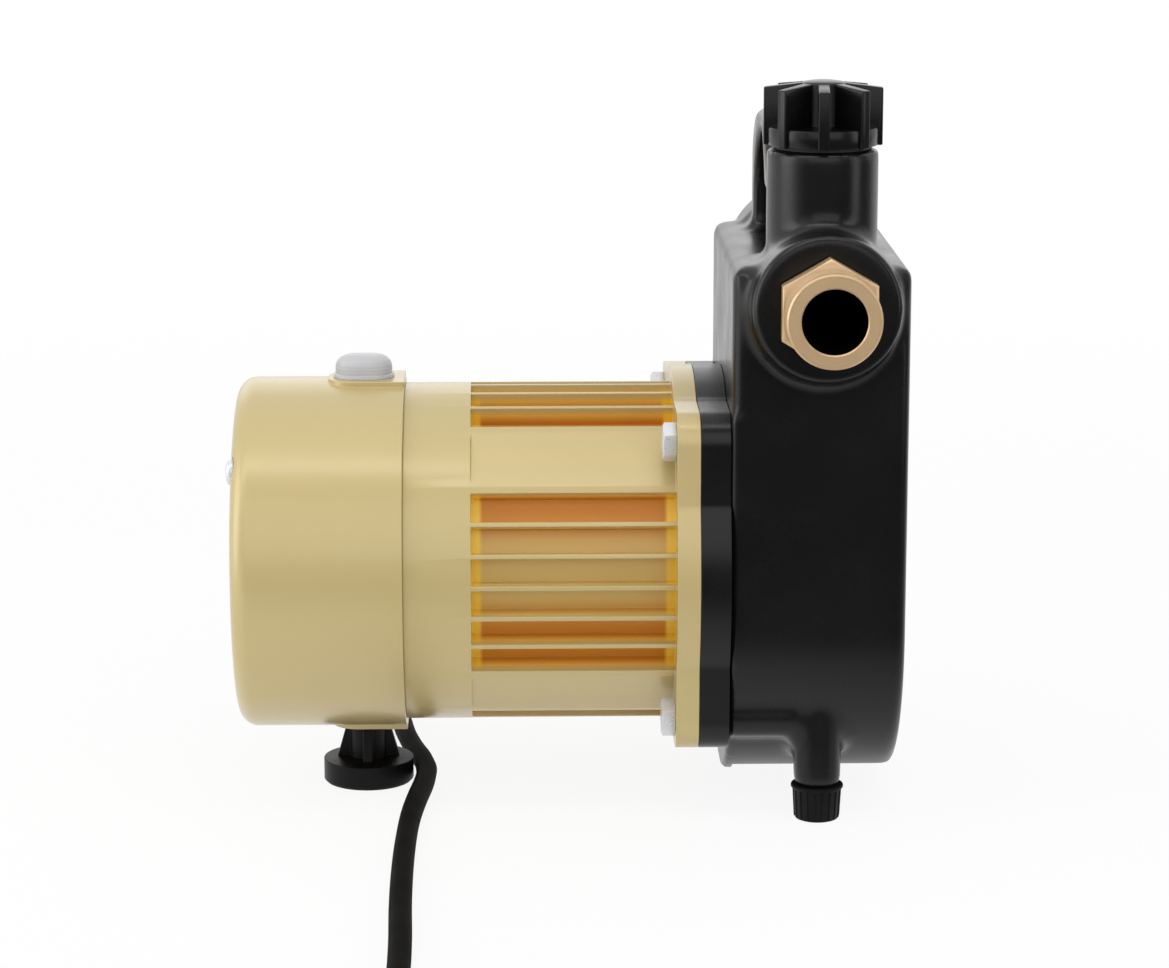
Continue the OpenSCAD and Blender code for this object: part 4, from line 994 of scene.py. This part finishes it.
def makeCasing():
    solid = mergedCopy("pump_casing", "solid")
    hollow = casingCore(1.0)
    cavity = hollow[0]
    for part in hollow[1:]:
        combine(cavity, part, "UNION")
    combine(cavity, copyPiece(solid, "wall"), "DIFFERENCE")
    whole = joinPieces("mouldedCasing",
                       [solid, mergedCopy("carry_handle", "handle")] + casingCore(0))
    # one skin of even small faces, swollen and drawn back in, which rounds the inner corners
    voxel, fillet = casing["voxel"] / 1000, casing["fillet"] / 1000
    modify(whole, "REMESH", mode="VOXEL", voxel_size=voxel)
    for distance in (fillet, -fillet):
        modify(whole, "DISPLACE", strength=distance, mid_level=0)
        modify(whole, "REMESH", mode="VOXEL", voxel_size=voxel)
    modify(whole, "SMOOTH", iterations=casing["smoothing"], factor=0.5)
    below = boxPart("below", (50, -80, -10), (100, 80, casing["legEnd"]))
    combine(whole, below, "DIFFERENCE")
    for side in (-1, 1):
        peg = roundBar("peg", casing["pegRadius"], casing["pegFrom"], casing["legEnd"] + 4,
                       (portX, side * legY, 0), "+z", 40)
        combine(whole, peg, "UNION")
    combine(whole, cavity, "DIFFERENCE")
    cleanMesh(whole, 0.001)
    smoothShade(whole, 38)
    addPiece(whole, "pump", "black_plastic", "blackPlastic", "pump_casing", "carry_handle")


makeCasing()


# Motor housing, end cover, seal plate and motor foot: the nodes' own shapes, merged and
# cleaned, with their edges broken and with large flat faces keeping their own normal

def softenNode(nodeName, name, slotName, finish, width):
    obj = mergedCopy(nodeName, name)
    editAll(obj, "FACE")
    bpy.ops.mesh.dissolve_limited(angle_limit=math.radians(0.6))
    objectMode()
    bevelEdges(obj, width, 2, 35, clamp=False)
    smoothShade(obj, 40)
    modify(obj, "WEIGHTED_NORMAL", keep_sharp=True)
    addPiece(obj, "pump", slotName, finish, nodeName)


softenNode("motor_housing", "motorHousing", "motor_paint", "goldHousing", 0.25)
softenNode("end_cover", "endCover", "motor_paint", "goldCover", 0.3)
softenNode("seal_plate", "sealPlate", "black_plastic", "blackPlastic", 0.35)
softenNode("motor_foot", "motorFoot", "black_plastic", "footPlastic", 0.3)


# Cover screws: pan heads with a cross recess

coverScrew = {"angle": 137.0, "circle": 45.5, "headFace": -98.4, "headBack": -95.8,
              "headRadius": 3.8, "shankRadius": 2.0, "shankEnd": -36.1, "crossWidth": 1.0,
              "crossReach": 2.3, "crossDepth": 1.3}


def makeCoverScrews():
    screw = coverScrew
    tall, radius = screw["headBack"] - screw["headFace"], screw["headRadius"]
    head = turnedPart("screw", [
        (radius - 0.1, 0), (radius, 0.25), (radius, tall * 0.45), (radius - 0.2, tall * 0.68),
        (radius - 0.8, tall * 0.88), (radius - 1.9, tall * 0.98), (0.4, tall)], 40)
    end, core = screw["headBack"] - screw["shankEnd"], screw["shankRadius"]
    shank = turnedPart("shank", [(core - 0.6, end), (core, end + 0.8), (core, 0.4)], 24)
    combine(head, shank, "UNION")
    wide, reach = screw["crossWidth"] / 2, screw["crossReach"]
    bottom = tall - screw["crossDepth"]
    for across, along in ((reach, wide), (wide, reach)):
        slot = boxPart("slot", (-across, -along, bottom), (across, along, tall + 1))
        scaleVerts(slot, lambda co: co.z < bottom + 0.1, (0.55, 0.55, 1), (0, 0, bottom))
        combine(head, slot, "DIFFERENCE")
    standAlong(head, (screw["headBack"], 0, axisHeight), "-x")
    smoothShade(head, 35)
    angles = [math.radians(screw["angle"] + half) for half in (0, 180)]
    whole = copiesAt("crossScrews", head, [(0, math.cos(angle) * screw["circle"],
                                            math.sin(angle) * screw["circle"])
                                           for angle in angles])
    addPiece(whole, "pump", "zinc_steel", "zincSteel", "cover_screws")


makeCoverScrews()


# Switch boot: a ribbed dome of clear silicone, drawn out to an oval

switchBoot = {"x": -59.3, "base": 124.75, "halfRun": 2.15}


def makeBoot():
    boot = turnedPart("siliconeBoot", [
        (0.5, 5.75), (3.0, 5.65), (4.5, 5.1), (5.4, 4.1), (5.75, 2.6), (5.9, 0.02), (6.9, 0.0),
        (6.9, 0.75), (6.72, 0.98), (6.32, 1.05), (6.2, 1.25), (6.3, 1.5), (6.34, 2.0), (6.18, 2.25),
        (6.3, 2.5), (6.3, 3.0), (6.12, 3.25), (6.2, 3.5), (6.12, 4.0), (5.9, 4.3), (5.9, 4.5),
        (5.45, 5.15), (4.8, 5.75), (4.0, 6.2), (3.0, 6.5), (1.8, 6.68), (0.5, 6.74)], 72)
    for side in (-1, 1):
        moveVerts(boot, lambda co: co.x * side > 0.03, (side * switchBoot["halfRun"], 0, 0))
    shiftBy(boot, (switchBoot["x"], 0, switchBoot["base"]))
    smoothShade(boot, 60)
    addPiece(boot, "pump", "boot_rubber", "clearSilicone", "switch_boot")


makeBoot()


# Strain relief: a flange, a plug in the cover and a tapered sleeve cut by ring grooves

strainRelief = {"x": -58.0, "z": 62.0, "seat": 53.05, "exit": 73.0, "grooves": 6,
                "wide": 5.15, "taper": 1.0}


def makeStrainRelief():
    relief = strainRelief
    seat, leave = relief["seat"], relief["exit"]
    profile = [(4.2, seat - 8), (4.5, seat - 7.6), (4.5, seat), (5.6, seat), (6.0, seat + 0.35),
               (6.0, seat + 1.6), (5.6, seat + 1.95), (5.2, seat + 1.95)]
    step = (leave - seat - 4.4) / relief["grooves"]
    for k in range(relief["grooves"]):
        place = seat + 3.0 + k * step
        crest = relief["wide"] - relief["taper"] * (place - seat - 2) / (leave - seat - 2)
        profile += [(crest, place), (crest - 0.55, place + 0.25),
                    (crest - 0.6, place + step * 0.38), (crest - 0.1, place + step * 0.52)]
    profile += [(4.15, leave - 0.5), (3.9, leave - 0.02)]
    sleeve = turnedPart("ribbedRelief", profile, 48)
    standAlong(sleeve, (relief["x"], 0, relief["z"]), "+y")
    smoothShade(sleeve, 40)
    addPiece(sleeve, "pump", "cord_jacket", "cordJacket", "strain_relief")


makeStrainRelief()


# Leg caps: tapered rubber cups with a rolled rim and fine grip ribs

legCap = {"ribs": 18, "ribWidth": 0.7}


def makeLegCaps():
    cup = turnedPart("cup", [
        (4.85, 3.25), (4.95, 10.3), (5.3, 10.6), (7.2, 10.6), (7.55, 10.45), (7.7, 10.1),
        (7.7, 9.75), (7.5, 9.45), (7.1, 9.3), (6.95, 9.0), (6.5, 0.9), (6.25, 0.25),
        (5.6, 0.0)], 72)
    half = legCap["ribWidth"] / 2
    rib = boxPart("rib", (5.8, -half, 0.6), (6.7, half, 9.6))
    moveVerts(rib, lambda co: co.z > 5, (0.5, 0, 0))
    bevelEdges(rib, 0.15, 2)
    turned = []
    for k in range(legCap["ribs"]):
        turned.append(copyPiece(rib, "rib"))
        turnBy(turned[-1], 360 / legCap["ribs"] * k)
    bpy.data.objects.remove(rib, do_unlink=True)
    cup = joinPieces("cup", [cup] + turned)
    smoothShade(cup, 40)
    whole = copiesAt("ribbedLegCaps", cup, [(portX, side * legY, 0) for side in (-1, 1)])
    addPiece(whole, "pump", "foot_rubber", "footRubber", "leg_caps")


makeLegCaps()


# Mains plug: a tapered grip with side grooves and a ringed neck, and its three contacts

mainsPlug = {"place": (30.0, -319.7, 12.6), "neck": 14.0, "length": 36.0, "halfWidth": 12.9,
             "halfHeight": 12.2, "grooves": 4, "rings": 5, "bladeGap": 12.7,
             "bladeLength": 15.5, "groundDrop": 7.9}


def plugGrip(neck, end):
    plug = mainsPlug
    wide, tall, middle = plug["halfWidth"], plug["halfHeight"], (neck + end) / 2
    body = boxPart("gripPlug", (neck, -wide, -tall), (end, wide, tall))
    scaleVerts(body, lambda co: co.x < neck + 1, (1, 0.62, 0.66), (neck, 0, 0))
    editAll(body)
    bpy.ops.mesh.subdivide(number_cuts=3)
    objectMode()
    scaleVerts(body, lambda co: abs(co.x - middle) < 12, (1, 1.03, 1.02), (middle, 0, 0))
    editAll(body, "FACE")
    bpy.ops.mesh.dissolve_limited(angle_limit=math.radians(0.5))
    objectMode()
    bevelEdges(body, 3.6, 6, 50)
    for side in (-1, 1):
        for k in range(plug["grooves"]):
            low = neck + 8 + 4.6 * k
            groove = boxPart("groove", (low, side * wide - 2.2, -6.8),
                             (low + 1.9, side * wide + 4, 6.8))
            bevelEdges(groove, 0.4, 2)
            combine(body, groove, "DIFFERENCE")
    profile = [(4.3, 0.1), (4.4, 0.5)]
    for k in range(plug["rings"]):
        base = 1.2 + 2.4 * k
        crest = 4.4 + 0.26 * base
        profile += [(crest, base), (crest + 0.1, base + 1.2), (crest - 0.7, base + 1.45),
                    (crest - 0.65, base + 2.2)]
    profile += [(7.6, 13.6), (7.6, 16.0)]
    collar = turnedPart("collar", profile, 48)
    standAlong(collar, (0, 0, 0), "+x")
    return combine(body, collar, "UNION")


def plugBlade(start, tip, middle):
    blade = boxPart("blade", (start, middle - 0.8, 0.8), (tip, middle + 0.8, 7.2))
    scaleVerts(blade, lambda co: co.x > tip - 1, (1, 0.6, 0.8), (tip, middle, 4))
    bevelEdges(blade, 0.2, 2)
    hole = roundBar("hole", 1.6, -5, 5, (tip - 4, middle, 4), "+y", 28)
    return combine(blade, hole, "DIFFERENCE")


def makePlug():
    plug = mainsPlug
    end = plug["neck"] + plug["length"]
    start, tip = end + 0.05, end + plug["bladeLength"]
    body = plugGrip(plug["neck"], end)
    shiftBy(body, plug["place"])
    cleanMesh(body, 0.001)
    smoothShade(body, 40)
    addPiece(body, "pump", "cord_jacket", "cordJacket", "plug_body")
    blades = [plugBlade(start, tip, side * plug["bladeGap"] / 2) for side in (-1, 1)]
    pin = turnedPart("pin", [(2.4, start), (2.4, tip - 1.2), (2.2, tip - 0.2),
                             (1.6, tip + 0.6), (0.6, tip + 0.98)], 32)
    standAlong(pin, (0, 0, -plug["groundDrop"]), "+x")
    whole = joinPieces("plugContacts", blades + [pin])
    shiftBy(whole, plug["place"])
    smoothShade(whole, 35)
    addPiece(whole, "pump", "plug_metal", "plugNickel", "plug_blades")
    return body, whole


plugBody, plugContacts = makePlug()
